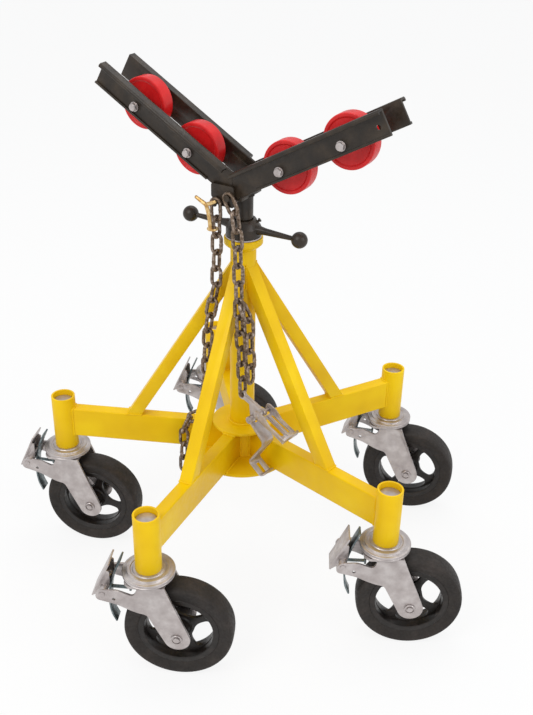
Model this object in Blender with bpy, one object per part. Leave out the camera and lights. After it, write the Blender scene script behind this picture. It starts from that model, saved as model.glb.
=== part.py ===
"""Pipe jack stand: five-leg caster base, screw jack and V-shaped roller head.

Metres, +Z up. The origin is at floor level under the middle of the whole stand's outline.
"""

import math

import bmesh
import bpy
from mathutils import Matrix, Vector

# General clearances and round counts
gap = 0.0003
seat_gap = 0.0005
overreach = 0.002
weld_distance = 0.00001
bolt_sides = 8
coarse_sides = 10
round_sides = 18
race_sides = 14
roller_sides = 18
wheel_sides = 22

# Column axis from the middle of the whole stand's outline on the floor
middle_offset = (-0.0017, -0.0137, 0.0)

# Column, collar and hub
column_radius = 0.02415
column_wall = 0.0035
column_foot = 0.2575
column_top = 0.7269
collar_radius = 0.03625
collar_height = 0.0194
collar_lip = 0.0098
hub_radius = 0.0362
foot_plate_radius = 0.100
foot_plate_thickness = 0.006
top_plate_radius = 0.060
top_plate_thickness = 0.0055

# Legs and their upright sleeves
leg_count = 5
first_leg_deg = -186.5
leg_bottom = 0.2633
leg_height = 0.0641
leg_width = 0.0254
leg_wall = 0.0032
leg_end_plug = 0.010
sleeve_ring_radius = 0.3736
sleeve_radius = 0.02415
sleeve_bore_radius = 0.02045
sleeve_bottom = 0.2348
sleeve_height = 0.1177

# Braces
brace_width = 0.0254
brace_thickness = 0.0254
brace_top_reach = 0.0165
brace_top_drop = 0.0619
brace_foot_reach = 0.2219

# Casters
wheel_radius = 0.1016
wheel_width = 0.0490
tread_flat = 0.0300
shoulder_radius = 0.0940
rim_radius = 0.0760
rim_width = 0.0380
rim_bore_radius = 0.0600
spoke_count = 4
spoke_width = 0.0090
spoke_depth = 0.0140
wheel_hub_radius = 0.0200
wheel_hub_length = 0.0654
axle_radius = 0.0060
axle_bore_slack = 0.0004
axle_head_radius = 0.0100
axle_head_thickness = 0.0060
caster_trail = 0.0535
race_radius = 0.0480
race_shoulder_radius = 0.0400
race_thickness = 0.0150
race_step = 0.0040
stem_length = 0.1070
stem_chamfer = 0.0020
kingpin_radius = 0.0080
kingpin_nut_radius = 0.0125
kingpin_nut_thickness = 0.0055
crown_thickness = 0.0055
fork_inside = 0.0668
fork_plate = 0.0045
fork_lobe_radius = 0.0240
fork_top_front = 0.0340
fork_top_back = 0.0140
crown_back = 0.0400
fork_waist = 0.0020
fork_waist_height = 0.1570
arm_root_height = 0.1970
arm_reach = 0.0960
arm_tip_low = 0.1850
arm_tip_high = 0.2070
arm_neck = 0.0480
arm_neck_low = 0.1715
arm_neck_high = 0.2090
pedal_pivot_reach = 0.0780
pedal_pivot_height = 0.1960
pedal_pivot_radius = 0.0050
pedal_barrel_radius = 0.0085
pedal_width = 0.0400
pedal_sheet = 0.0040
pedal_heel_reach = 0.1030
pedal_tip_reach = 0.0570
pedal_tip_rise = 0.0640
brake_shoe_width = 0.0200
brake_shoe_reach = 0.0550
brake_shoe_height = 0.1330
brake_shoe_thickness = 0.0060

# Headings of the wheels about their stems, and how far each wheel has turned
headings_deg = (-10.4, -5.1, -1.8, -12.9, -8.0)
spoke_turns_deg = (-20.0, 17.0, -20.0, -17.0, 10.0)

# Jack: post, nut with two handles, washer
post_radius = 0.0175
post_length = 0.4685
post_chamfer = 0.0015
washer_radius = 0.0280
washer_thickness = 0.0030
nut_radius = 0.0330
nut_height = 0.0210
nut_cone_top_radius = 0.0225
nut_cone_height = 0.0150
handle_height = 0.0190
handle_root_radius = 0.0065
handle_tip_radius = 0.0040
handle_reach = 0.1170
ball_radius = 0.0150
handle_deg = 149.5

# V head
head_turn_deg = -30.1
arm_rise_deg = 29.7
post_show = 0.0440
vee_over_base = 0.0174
rail_offset = 0.0340
rail_web = 0.0050
rail_low = 0.0156
rail_high = 0.0298
rail_flange = 0.0182
rail_lip = 0.0040
lip_start = 0.0520
rail_sheet = 0.0045
rail_length = 0.3280
left_flange_start = 0.0300
roller_spots = (0.1077, 0.2382)
roller_radius = 0.0475
roller_width = 0.0270
roller_hub_radius = 0.0150
roller_hub_length = 0.0360
roller_bore_slack = 0.0004
roller_bolt_radius = 0.0065
bolt_head_radius = 0.0110
bolt_head_thickness = 0.0070
spacer_radius = 0.0100
rail_hole_spot = 0.3120
rail_hole_radius = 0.0045
rail_hole_rise = 0.0040
saddle_base_thickness = 0.0060
saddle_half_length = 0.0165
saddle_wall = 0.0060
saddle_wing_reach = 0.0600
saddle_wing_low = 0.0115
saddle_wing_high = 0.0180
bridge_thickness = 0.0050
bridge_drop = 0.0020
tab_left = 0.0410
tab_right = 0.0060
tab_rise = 0.0275
tab_drop = 0.0115
tab_thickness = 0.0050
tab_corner = 0.0150
right_pin_spot = (-0.0030, 0.0080)
left_pin_spot = (-0.0290, -0.0060)
chain_pin_radius = 0.0035
chain_pin_head_radius = 0.0062
chain_pin_head_thickness = 0.0025

# Chains
wire_radius = 0.0034
link_bend_radius = 0.0094
link_half_straight = 0.0100
link_bite = 0.0006
wire_sides = 4
bend_steps = 4

# Course of each chain as points (x, y, height over the saddle's base), below its pin
right_chain_course = (
    (-0.0130, -0.0480, -0.0215),
    (-0.0095, -0.0520, -0.0545),
    (-0.0080, -0.0560, -0.1005),
    (-0.0050, -0.0720, -0.1805),
    (-0.0040, -0.0735, -0.2305),
    (0.0000, -0.0735, -0.2805),
    (0.0030, -0.0735, -0.3705),
)
left_chain_course = (
    (-0.0470, -0.0310, -0.0605),
    (-0.0490, -0.0300, -0.1705),
    (-0.0590, -0.0300, -0.2155),
    (-0.0640, -0.0300, -0.2505),
    (-0.0680, -0.0290, -0.3105),
    (-0.0700, -0.0220, -0.3905),
    (-0.0760, -0.0170, -0.4555),
    (-0.0950, -0.0155, -0.4680),
    (-0.1165, -0.0150, -0.4725),
    (-0.1190, -0.0150, -0.6105),
)
right_chain_links = 12
left_chain_links = 19

# Tail of the right chain, held by one of its links, in the tensioner's frame
tail_links = 5
tail_from_link = 6
tail_start = (0.0060, 0.0, -0.0060)
tail_offset = (0.0170, 0.0075)

# Chain tensioner, in an upright plane through the right chain's end: +X away from the chain
tensioner_turn_deg = -40.0
eye_hole_radius = 0.0052
eye_radius = 0.0085
eye_drop = 0.0028
bar_depth = 0.0070
bar_half_height = 0.0050
bar_boss_radius = 0.0075
hinge_spot = (0.0517, -0.0180)
lug_spot = (0.0288, -0.0402)
lug_radius = 0.0062
lug_neck_share = 1.6
tensioner_pin_radius = 0.0035
lever_fall_deg = -23.0
lever_length = 0.0728
lever_start = 0.0095
lever_width = 0.0380
lever_sheet = 0.0030
lever_skirt = 0.0055
lever_slot_ends = (0.0150, 0.0620)
lever_slot_sides = (0.0040, 0.0135)
lever_rib_height = 0.0050
lever_rib_share = 0.7
lever_ear_back = 0.0340
lever_ear_high = 0.0165
lever_ear_low = 0.0070
lever_ear_peak_share = 0.3
lever_ear_slope_share = 0.4
lever_lip_width = 0.0440
lever_lip_height = 0.0070
strap_thickness = 0.0038
strap_width = 0.0300
knuckle_bite_share = 0.33
strap_course = (
    (0.0630, -0.0733),
    (0.0625, -0.0922),
    (0.0345, -0.1314),
    (0.0311, -0.1469),
    (0.0414, -0.1571),
    (0.0608, -0.1509),
    (0.0687, -0.1417),
)

# Grab hook on the left chain: its ring, stem and two prongs
grab_link = 1
grab_wire_radius = 0.0036
grab_tip_radius = 0.0028
prong_root_share = 0.1
grab_ring_radius = 0.0085
grab_ring_wire = 0.0022
grab_stem = ((-0.0010, 0.0200), (-0.0080, 0.0460))
grab_left_prong = (-0.0310, 0.0570)
grab_right_prong = (0.0125, 0.0560)


def remove_everything():
    for old in list(bpy.data.objects):
        bpy.data.objects.remove(old, do_unlink=True)


def linear(code):
    """Linear RGB of an sRGB colour written as six hexadecimal digits."""
    channels = [int(code[i : i + 2], 16) / 255 for i in (0, 2, 4)]
    return [c / 12.92 if c <= 0.04045 else ((c + 0.055) / 1.055) ** 2.4 for c in channels]


FINISHES = {
    "yellow_paint": ("E6C21E", 0.38, 0.0),
    "black_steel": ("37302A", 0.45, 0.2),
    "zinc": ("B9AFAC", 0.35, 0.9),
    "rubber": ("3C3230", 0.75, 0.0),
    "red_roller": ("CB2220", 0.40, 0.0),
    "chain_steel": ("6A5A50", 0.40, 0.8),
    "gold_zinc": ("BE965A", 0.35, 0.9),
}


def stand_root():
    """The column's foot on the floor, off the middle by the five-legged base's own offset."""
    return bpy.data.objects.get("stand_root") or empty("stand_root", middle_offset)


def material(name, finish):
    code, roughness, metallic = FINISHES[finish]
    made = bpy.data.materials.new(name + "_" + finish)
    made.use_nodes = True
    shader = made.node_tree.nodes["Principled BSDF"]
    shader.inputs["Base Color"].default_value = (*linear(code), 1.0)
    shader.inputs["Roughness"].default_value = roughness
    shader.inputs["Metallic"].default_value = metallic
    made.diffuse_color = (*linear(code), 1.0)
    return made


def empty(name, place, turn_deg=0.0, parent=None):
    """A locator turned about +Z."""
    made = bpy.data.objects.new(name, None)
    bpy.context.scene.collection.objects.link(made)
    if name != "stand_root":
        made.parent = parent or stand_root()
    made.location = place
    made.rotation_euler = (0.0, 0.0, math.radians(turn_deg))
    return made


def part(name, mesh, finish, parent=None, place=(0.0, 0.0, 0.0), turn=(0.0, 0.0, 0.0)):
    """A named piece with its own material; turn holds Euler angles in degrees."""
    made = bpy.data.objects.new(name, mesh.copy())
    made.data.name = name
    bpy.context.scene.collection.objects.link(made)
    made.parent = parent or stand_root()
    made.location = place
    made.rotation_euler = [math.radians(angle) for angle in turn]
    made.data.materials.clear()
    made.data.materials.append(material(name, finish))
    made.data.shade_smooth()
    made.data.set_sharp_from_angle(angle=math.radians(35.0))
    return made


def mesh_from(bm):
    bmesh.ops.remove_doubles(bm, verts=bm.verts, dist=weld_distance)
    bmesh.ops.recalc_face_normals(bm, faces=bm.faces)
    mesh = bpy.data.meshes.new("shape")
    bm.to_mesh(mesh)
    bm.free()
    return mesh


def moved(mesh, matrix):
    copy = mesh.copy()
    copy.transform(matrix)
    return copy


def turned(profile, sides, axis="Z"):
    """A profile of (radius, height) points spun about +Z, closed unless it ends on the axis."""
    bm = bmesh.new()
    verts = [bm.verts.new((radius, 0.0, height)) for radius, height in profile]
    edges = [bm.edges.new(pair) for pair in zip(verts, verts[1:])]
    if profile[0][0] > 0.0 or profile[-1][0] > 0.0:
        edges.append(bm.edges.new((verts[-1], verts[0])))
    bmesh.ops.spin(
        bm,
        geom=verts + edges,
        cent=(0.0, 0.0, 0.0),
        axis=(0.0, 0.0, 1.0),
        angle=2.0 * math.pi,
        steps=sides,
        use_merge=True,
    )
    mesh = mesh_from(bm)
    if axis == "Y":
        mesh.transform(Matrix.Rotation(math.radians(90.0), 4, "X"))
    return mesh


def sheet(loops, depth, start=0.0):
    """Flat stock: an outline in XY and any hole outlines, raised from start by depth along +Z."""
    bm = bmesh.new()
    edges = []
    for loop in loops:
        verts = [bm.verts.new((x, y, start)) for x, y in loop]
        edges += [bm.edges.new(pair) for pair in zip(verts, verts[1:] + verts[:1])]
    if len(loops) == 1:
        bm.faces.new(verts)
    else:
        bmesh.ops.triangle_fill(bm, use_beauty=True, edges=edges)
    raised = bmesh.ops.extrude_face_region(bm, geom=bm.faces[:])
    tops = [item for item in raised["geom"] if isinstance(item, bmesh.types.BMVert)]
    bmesh.ops.translate(bm, verts=tops, vec=(0.0, 0.0, depth))
    return mesh_from(bm)


# Turns a flat outline (x, height) upright; its depth then runs along -Y
UPRIGHT = Matrix.Rotation(math.radians(90.0), 4, "X")


def upright(loops, near, far):
    """An upright plate between the offsets near and far along -Y."""
    return moved(sheet(loops, far - near, near), UPRIGHT)


def box(x, y, z):
    """A block between three pairs of limits."""
    return sheet([[(x[0], y[0]), (x[1], y[0]), (x[1], y[1]), (x[0], y[1])]], z[1] - z[0], z[0])


def ring(centre, radius, sides, first_deg=0.0, sweep_deg=360.0, ends=False):
    """Points on a circle or an arc."""
    last = sides + 1 if ends else sides
    points = []
    for step in range(last):
        angle = math.radians(first_deg + sweep_deg * step / sides)
        points.append((centre[0] + radius * math.cos(angle), centre[1] + radius * math.sin(angle)))
    return points


def swept(points, radius, sides, normal, closed=True, tip_radius=None):
    """A round bar along a flat path; normal is the direction square to the path's plane."""
    bm = bmesh.new()
    normal = Vector(normal).normalized()
    points = [Vector(point) for point in points]
    count = len(points)
    rows = []
    for index, point in enumerate(points):
        before = points[index - 1] if closed or index else point
        after = points[(index + 1) % count] if closed or index < count - 1 else point
        inward = (point - before).normalized() if (point - before).length else Vector()
        outward = (after - point).normalized() if (after - point).length else Vector()
        across = normal.cross((inward + outward).normalized()).normalized()
        wide = radius
        if tip_radius is not None:
            wide = radius + (tip_radius - radius) * index / (count - 1)
        row = []
        for side in range(sides):
            angle = math.pi + 2.0 * math.pi * side / sides
            row.append(bm.verts.new(point + across * (wide * math.cos(angle)) + normal * (wide * math.sin(angle))))
        rows.append(row)
    for index in range(count if closed else count - 1):
        first, second = rows[index], rows[(index + 1) % count]
        for side in range(sides):
            other = (side + 1) % sides
            bm.faces.new((first[side], first[other], second[other], second[side]))
    if not closed:
        bm.faces.new(rows[0])
        bm.faces.new(rows[-1])
    return mesh_from(bm)


def together(meshes):
    """Several meshes as one, not yet united."""
    bm = bmesh.new()
    for mesh in meshes:
        bm.from_mesh(mesh)
    mesh = bpy.data.meshes.new("shape")
    bm.to_mesh(mesh)
    bm.free()
    return mesh


def combined(base, joins=(), cuts=()):
    """The base united with each of the joins, then cut by each of the cuts."""
    helpers = []
    body = bpy.data.objects.new("body", base)
    bpy.context.scene.collection.objects.link(body)
    for operation, tools in (("UNION", joins), ("DIFFERENCE", cuts)):
        for tool in tools:
            helper = bpy.data.objects.new("tool", tool)
            helper.hide_render = True
            helper.display_type = "WIRE"
            bpy.context.scene.collection.objects.link(helper)
            helpers.append(helper)
            step = body.modifiers.new(operation.lower(), "BOOLEAN")
            step.operation = operation
            step.solver = "MANIFOLD"
            step.object = helper
    graph = bpy.context.evaluated_depsgraph_get()
    graph.update()
    mesh = bpy.data.meshes.new_from_object(body.evaluated_get(graph))
    for item in [body] + helpers:
        bpy.data.objects.remove(item, do_unlink=True)
    bm = bmesh.new()
    bm.from_mesh(mesh)
    return mesh_from(bm)


def on_circle(radius, angle_deg, height=0.0):
    angle = math.radians(angle_deg)
    return (radius * math.cos(angle), radius * math.sin(angle), height)


# Frame


def build_column():
    bore = column_radius - column_wall
    tube = turned(
        [
            (bore, column_foot),
            (bore, column_top),
            (column_radius, column_top),
            (column_radius, column_foot),
        ],
        round_sides,
    )
    part("column_tube", tube, "yellow_paint")
    inside = column_radius + gap
    bottom = column_top - collar_height
    collar = turned(
        [
            (inside, column_top),
            (collar_radius, column_top),
            (collar_radius, column_top - collar_lip),
            (inside + gap, bottom),
            (inside, bottom),
        ],
        round_sides,
    )
    part("column_collar", collar, "yellow_paint")


def build_hub():
    bore = column_radius + gap
    foot_top = leg_bottom - gap
    head_low = leg_bottom + leg_height + gap
    hub = turned(
        [
            (bore, head_low + top_plate_thickness),
            (top_plate_radius, head_low + top_plate_thickness),
            (top_plate_radius, head_low),
            (hub_radius, head_low),
            (hub_radius, foot_top),
            (foot_plate_radius, foot_top),
            (foot_plate_radius, foot_top - foot_plate_thickness),
            (bore, foot_top - foot_plate_thickness),
        ],
        wheel_sides,
    )
    part("hub", hub, "yellow_paint")


def leg_mesh():
    """A rectangular tube along +X with its upright sleeve at the outer end."""
    half = leg_width / 2
    start = hub_radius + gap
    end = sleeve_ring_radius - sleeve_radius / 2
    top = leg_bottom + leg_height
    bar = box((start, end), (-half, half), (leg_bottom, top))
    sleeve_place = Matrix.Translation((sleeve_ring_radius, 0.0, 0.0))
    sleeve_top = sleeve_bottom + sleeve_height
    pipe = turned(
        [(0.0, sleeve_bottom), (sleeve_radius, sleeve_bottom), (sleeve_radius, sleeve_top), (0.0, sleeve_top)],
        round_sides,
    )
    bore = turned(
        [
            (0.0, sleeve_bottom - overreach),
            (sleeve_bore_radius, sleeve_bottom - overreach),
            (sleeve_bore_radius, sleeve_top + overreach),
            (0.0, sleeve_top + overreach),
        ],
        round_sides,
    )
    hollow_end = sleeve_ring_radius - sleeve_radius - leg_end_plug
    inner = half - leg_wall
    hollow = box((start - overreach, hollow_end), (-inner, inner), (leg_bottom + leg_wall, top - leg_wall))
    return combined(
        bar,
        joins=[moved(pipe, sleeve_place)],
        cuts=[moved(bore, sleeve_place), hollow],
    )


def brace_mesh():
    """A square tube in the XZ plane, cut upright at the column and level at the leg."""
    half_width = brace_width / 2
    leg_top = leg_bottom + leg_height + gap
    column_face = column_radius + gap
    run = brace_foot_reach - brace_top_reach
    top_height = column_top - brace_top_drop
    rise = leg_top - top_height
    length = math.hypot(run, rise)
    side_run = -rise / length * brace_thickness / 2
    side_rise = run / length * brace_thickness / 2
    outline = []
    for sign in (1, -1):
        reach = brace_top_reach + sign * side_run
        height = top_height + sign * side_rise
        top = (column_face, height + (column_face - reach) * rise / run)
        foot = (reach + (leg_top - height) * run / rise, leg_top)
        outline += [top, foot] if sign == 1 else [foot, top]
    return upright([outline], -half_width, half_width)


LEG_NAMES = ("left", "front_left", "front_right", "back_right", "back")


def leg_deg(index):
    return first_leg_deg + 360.0 / leg_count * index


def build_legs():
    leg = leg_mesh()
    brace = brace_mesh()
    for index, name in enumerate(LEG_NAMES):
        turn = (0.0, 0.0, leg_deg(index))
        part("leg_" + name, leg, "yellow_paint", turn=turn)
        part("brace_" + name, brace, "yellow_paint", turn=turn)


# Casters, each in its own frame: +X from the stem towards the wheel


def caster_mount_mesh():
    top = sleeve_bottom - gap
    low = top - race_thickness
    crown_low = low - gap - crown_thickness
    stem = sleeve_bore_radius - seat_gap
    profile = [
        (0.0, top + stem_length),
        (stem - stem_chamfer, top + stem_length),
        (stem, top + stem_length - stem_chamfer),
        (stem, top),
        (race_shoulder_radius, top),
        (race_shoulder_radius + race_step / 2, top - race_step),
        (race_radius, top - race_step),
        (race_radius, low + race_step),
        (race_shoulder_radius, low),
        (kingpin_radius, low),
        (kingpin_radius, crown_low - gap),
        (kingpin_nut_radius, crown_low - gap),
        (kingpin_nut_radius, crown_low - gap - kingpin_nut_thickness),
        (0.0, crown_low - gap - kingpin_nut_thickness),
    ]
    return turned(profile, race_sides)


def fork_top():
    return sleeve_bottom - gap - race_thickness - gap


def fork_outline():
    """One side plate: crown edge, round lower lobe, waist and the arm to the pedal."""
    top = fork_top()
    axle = (caster_trail, wheel_radius)
    lobe = ring(axle, fork_lobe_radius, 8, 28.0, -236.0, ends=True)
    return (
        [(fork_top_front, top)]
        + lobe
        + [
            (fork_waist, fork_waist_height),
            (-fork_top_back, fork_waist_height),
            (-arm_neck, arm_neck_low),
            (-arm_reach, arm_tip_low),
            (-arm_reach, arm_tip_high),
            (-arm_neck, arm_neck_high),
            (-fork_top_back - overreach, arm_root_height),
            (-fork_top_back, top),
        ]
    )


def yoke_mesh():
    top = fork_top()
    near = fork_inside / 2
    far = near + fork_plate
    axle_hole = ring((caster_trail, wheel_radius), axle_radius + gap, bolt_sides)
    pivot = (-pedal_pivot_reach, pedal_pivot_height)
    pivot_hole = ring(pivot, pedal_pivot_radius + gap, coarse_sides)
    plates = [
        upright([fork_outline(), axle_hole, pivot_hole], near, far),
        upright([fork_outline(), axle_hole, pivot_hole], -far, -near),
    ]
    corner = crown_back / 4
    crown = sheet(
        [
            [
                (fork_top_front, -far),
                (fork_top_front, far),
                (corner - crown_back, far),
                (-crown_back, far - corner),
                (-crown_back, corner - far),
                (corner - crown_back, -far),
            ],
            ring((0.0, 0.0), kingpin_radius + gap, race_sides),
        ],
        crown_thickness,
        top - crown_thickness,
    )
    return combined(crown, joins=plates)


def axle_mesh():
    half = fork_inside / 2 + fork_plate + gap
    profile = [
        (0.0, -half - axle_head_thickness),
        (axle_head_radius, -half - axle_head_thickness),
        (axle_head_radius, -half),
        (axle_radius, -half),
        (axle_radius, half),
        (axle_head_radius, half),
        (axle_head_radius, half + axle_head_thickness),
        (0.0, half + axle_head_thickness),
    ]
    return turned(profile, bolt_sides, "Y")


def wheel_mesh():
    """Rubber tread on a spoked core, turned about the Y axis."""
    tread = turned(
        [
            (rim_bore_radius, rim_width / 2),
            (rim_radius, rim_width / 2),
            (shoulder_radius, wheel_width / 2),
            (wheel_radius, tread_flat / 2),
            (wheel_radius, -tread_flat / 2),
            (shoulder_radius, -wheel_width / 2),
            (rim_radius, -rim_width / 2),
            (rim_bore_radius, -rim_width / 2),
        ],
        wheel_sides,
    )
    hub = turned(
        [
            (0.0, -wheel_hub_length / 2),
            (wheel_hub_radius, -wheel_hub_length / 2),
            (wheel_hub_radius, wheel_hub_length / 2),
            (0.0, wheel_hub_length / 2),
        ],
        coarse_sides,
    )
    reach = (rim_bore_radius + rim_radius) / 2
    half = spoke_width / 2
    bar = box((-reach, reach), (-half, half), (-spoke_depth / 2, spoke_depth / 2))
    bars = [
        moved(bar, Matrix.Rotation(2.0 * math.pi * step / spoke_count, 4, "Z"))
        for step in range(spoke_count // 2)
    ]
    long = wheel_hub_length
    bore = turned(
        [
            (0.0, -long),
            (axle_radius + axle_bore_slack, -long),
            (axle_radius + axle_bore_slack, long),
            (0.0, long),
        ],
        coarse_sides,
    )
    wheel = combined(tread, joins=bars + [hub], cuts=[bore])
    wheel.transform(UPRIGHT)
    return wheel


def pedal_mesh():
    """Foot plate with two cheeks, a pivot barrel and the brake shoe above the tread."""
    heel = (-pedal_heel_reach, pedal_pivot_height)
    tip = (-pedal_tip_reach, pedal_pivot_height + pedal_tip_rise)
    run, rise = tip[0] - heel[0], tip[1] - heel[1]
    length = math.hypot(run, rise)
    across = (rise / length, -run / length)
    under = [(x + across[0] * pedal_sheet, z + across[1] * pedal_sheet) for x, z in (tip, heel)]
    half = pedal_width / 2
    plate = upright([[heel, tip] + under], -half, half)
    pivot = (-pedal_pivot_reach, pedal_pivot_height)
    cheek = [
        heel,
        tip,
        under[0],
        (pivot[0] + pedal_barrel_radius, pivot[1]),
        (pivot[0], pivot[1] - pedal_barrel_radius),
        (heel[0], heel[1] - pedal_sheet),
    ]
    cheeks = [
        upright([cheek], half - pedal_sheet, half),
        upright([cheek], -half, pedal_sheet - half),
    ]
    pin_half = fork_inside / 2 + fork_plate
    pin = turned(
        [(0.0, -pin_half), (pedal_pivot_radius, -pin_half), (pedal_pivot_radius, pin_half), (0.0, pin_half)],
        8,
        "Y",
    )
    barrel_half = fork_inside / 2 - gap
    barrel = turned(
        [
            (0.0, -barrel_half),
            (pedal_barrel_radius, -barrel_half),
            (pedal_barrel_radius, barrel_half),
            (0.0, barrel_half),
        ],
        8,
        "Y",
    )
    place = Matrix.Translation((pivot[0], 0.0, pivot[1]))
    shoe_half = brake_shoe_width / 2
    shoe = upright(
        [
            [
                (pivot[0] - brake_shoe_thickness, pivot[1]),
                (pivot[0] + brake_shoe_thickness, pivot[1]),
                (-brake_shoe_reach + brake_shoe_thickness / 2, brake_shoe_height + brake_shoe_thickness),
                (-brake_shoe_reach, brake_shoe_height),
                (-brake_shoe_reach - brake_shoe_thickness, brake_shoe_height + brake_shoe_thickness * 2),
            ]
        ],
        -shoe_half,
        shoe_half,
    )
    return combined(plate, joins=cheeks + [moved(barrel, place), moved(pin, place), shoe])


def build_casters():
    mount = caster_mount_mesh()
    yoke = yoke_mesh()
    axle = axle_mesh()
    wheel = wheel_mesh()
    pivot = Vector((-pedal_pivot_reach, 0.0, pedal_pivot_height))
    pedal = moved(pedal_mesh(), Matrix.Translation(-pivot))
    axle_place = (caster_trail, 0.0, wheel_radius)
    for index, name in enumerate(LEG_NAMES):
        foot = on_circle(sleeve_ring_radius, leg_deg(index))
        stem = empty("swivel_axis_" + name, foot, headings_deg[index])
        stem_name = "caster_" + name
        part(stem_name + "_mount", mount, "zinc", stem)
        part(stem_name + "_yoke", yoke, "zinc", stem)
        part(stem_name + "_axle", axle, "zinc", stem, axle_place)
        turn = (0.0, -spoke_turns_deg[index], 0.0)
        part(stem_name + "_wheel", wheel, "rubber", stem, axle_place, turn)
        part(stem_name + "_pedal", pedal, "zinc", stem, pivot)


# Jack


def nut_seat_height():
    return column_top + gap + washer_thickness + gap


def saddle_low():
    """Underside of the head's base plate, above the nut and the stretch of post that shows."""
    return nut_seat_height() + nut_height + nut_cone_height + post_show


def vee_height():
    return saddle_low() + vee_over_base


def build_jack():
    washer_low = column_top + gap
    bore = post_radius + gap
    washer = turned(
        [
            (bore, washer_low + washer_thickness),
            (washer_radius, washer_low + washer_thickness),
            (washer_radius, washer_low),
            (bore, washer_low),
        ],
        round_sides,
    )
    part("thrust_washer", washer, "zinc")
    nut_low = nut_seat_height()
    nut_top = nut_low + nut_height
    nut = turned(
        [
            (bore, nut_top + nut_cone_height),
            (nut_cone_top_radius, nut_top + nut_cone_height),
            (nut_radius, nut_top),
            (nut_radius, nut_low),
            (bore, nut_low),
        ],
        round_sides,
    )
    middle = (bore + nut_radius) / 2
    joins = []
    for sign in (1, -1):
        root = (sign * middle, 0.0, nut_low + handle_height)
        tip = (sign * handle_reach, 0.0, nut_low + handle_height)
        joins.append(swept([root, tip], handle_root_radius, 8, (0.0, 0.0, 1.0), False, handle_tip_radius))
        ball = bmesh.new()
        bmesh.ops.create_icosphere(ball, subdivisions=2, radius=ball_radius)
        bmesh.ops.translate(ball, verts=ball.verts, vec=tip)
        joins.append(mesh_from(ball))
    part("jack_nut", combined(nut, joins=joins), "black_steel", turn=(0.0, 0.0, handle_deg))
    post_top = saddle_low() + saddle_base_thickness / 2
    post_bottom = post_top - post_length
    post = turned(
        [
            (0.0, post_top),
            (post_radius, post_top),
            (post_radius, post_bottom + post_chamfer),
            (post_radius - post_chamfer, post_bottom),
            (0.0, post_bottom),
        ],
        round_sides,
    )
    part("jack_post", post, "black_steel")


# Head: its own frame has +X along the right arm's plan direction and -Y towards the front


def rail_mesh(front, flange_start, tip_hole):
    """One rail in its arm's frame: +X along the arm, square cut at the tip and mitred at the vee."""
    side = -1.0 if front else 1.0
    slope = math.tan(math.radians(arm_rise_deg))

    def stick(section, start=None):
        bm = bmesh.new()
        rows = []
        for far in (False, True):
            row = []
            for across, height in section:
                mitre = max(height * slope, start) if start else height * slope
                along = rail_length if far else mitre + gap
                row.append(bm.verts.new((along, side * across, height)))
            rows.append(row)
        count = len(section)
        for index in range(count):
            other = (index + 1) % count
            bm.faces.new((rows[0][index], rows[0][other], rows[1][other], rows[1][index]))
        bm.faces.new(rows[0])
        bm.faces.new(rows[1])
        return mesh_from(bm)

    inside = rail_offset
    outside = rail_offset + rail_web
    web = stick([(inside, -rail_low), (outside, -rail_low), (outside, rail_high), (inside, rail_high)])
    lip = stick(
        [
            (inside + rail_web / 2, gap - rail_low),
            (outside + rail_lip, gap - rail_low),
            (outside + rail_lip, rail_sheet - rail_low),
            (inside + rail_web / 2, rail_sheet - rail_low),
        ],
        lip_start,
    )
    flange = stick(
        [
            (inside + rail_web / 2, rail_high - rail_sheet),
            (outside + rail_flange - rail_web, rail_high - rail_sheet),
            (outside + rail_flange - rail_web, rail_high - gap),
            (inside + rail_web / 2, rail_high - gap),
        ],
        flange_start,
    )
    holes = [(spot, 0.0, roller_bolt_radius + gap) for spot in roller_spots]
    if tip_hole:
        holes.append((rail_hole_spot, rail_hole_rise, rail_hole_radius))
    cuts = []
    for along, height, radius in holes:
        low, high = inside - overreach, outside + rail_lip + overreach
        cutter = turned([(0.0, low), (radius, low), (radius, high), (0.0, high)], bolt_sides)
        turn = Matrix.Rotation(math.radians(-90.0 * side), 4, "X")
        cuts.append(moved(cutter, Matrix.Translation((along, 0.0, height)) @ turn))
    return combined(web, joins=[flange, lip], cuts=cuts)


def roller_mesh():
    half = roller_width / 2
    hub = roller_hub_length / 2
    bore = roller_bolt_radius + roller_bore_slack
    return turned(
        [
            (bore, hub),
            (roller_hub_radius, hub),
            (roller_hub_radius, half),
            (roller_radius, half),
            (roller_radius, -half),
            (roller_hub_radius, -half),
            (roller_hub_radius, -hub),
            (bore, -hub),
        ],
        roller_sides,
        "Y",
    )


def roller_bolt_mesh():
    """Bolt with a spacer on each side of the roller, turned about the Y axis."""
    web_in = rail_offset - gap
    web_out = rail_offset + rail_web + gap
    hub = roller_hub_length / 2 + gap
    half = [
        (0.0, web_out + bolt_head_thickness),
        (bolt_head_radius, web_out + bolt_head_thickness),
        (bolt_head_radius, web_out),
        (roller_bolt_radius, web_out),
        (roller_bolt_radius, web_in),
        (spacer_radius, web_in),
        (spacer_radius, hub),
        (roller_bolt_radius, hub),
    ]
    other = [(radius, -offset) for radius, offset in reversed(half)]
    return turned(half + other, bolt_sides, "Y")


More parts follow.
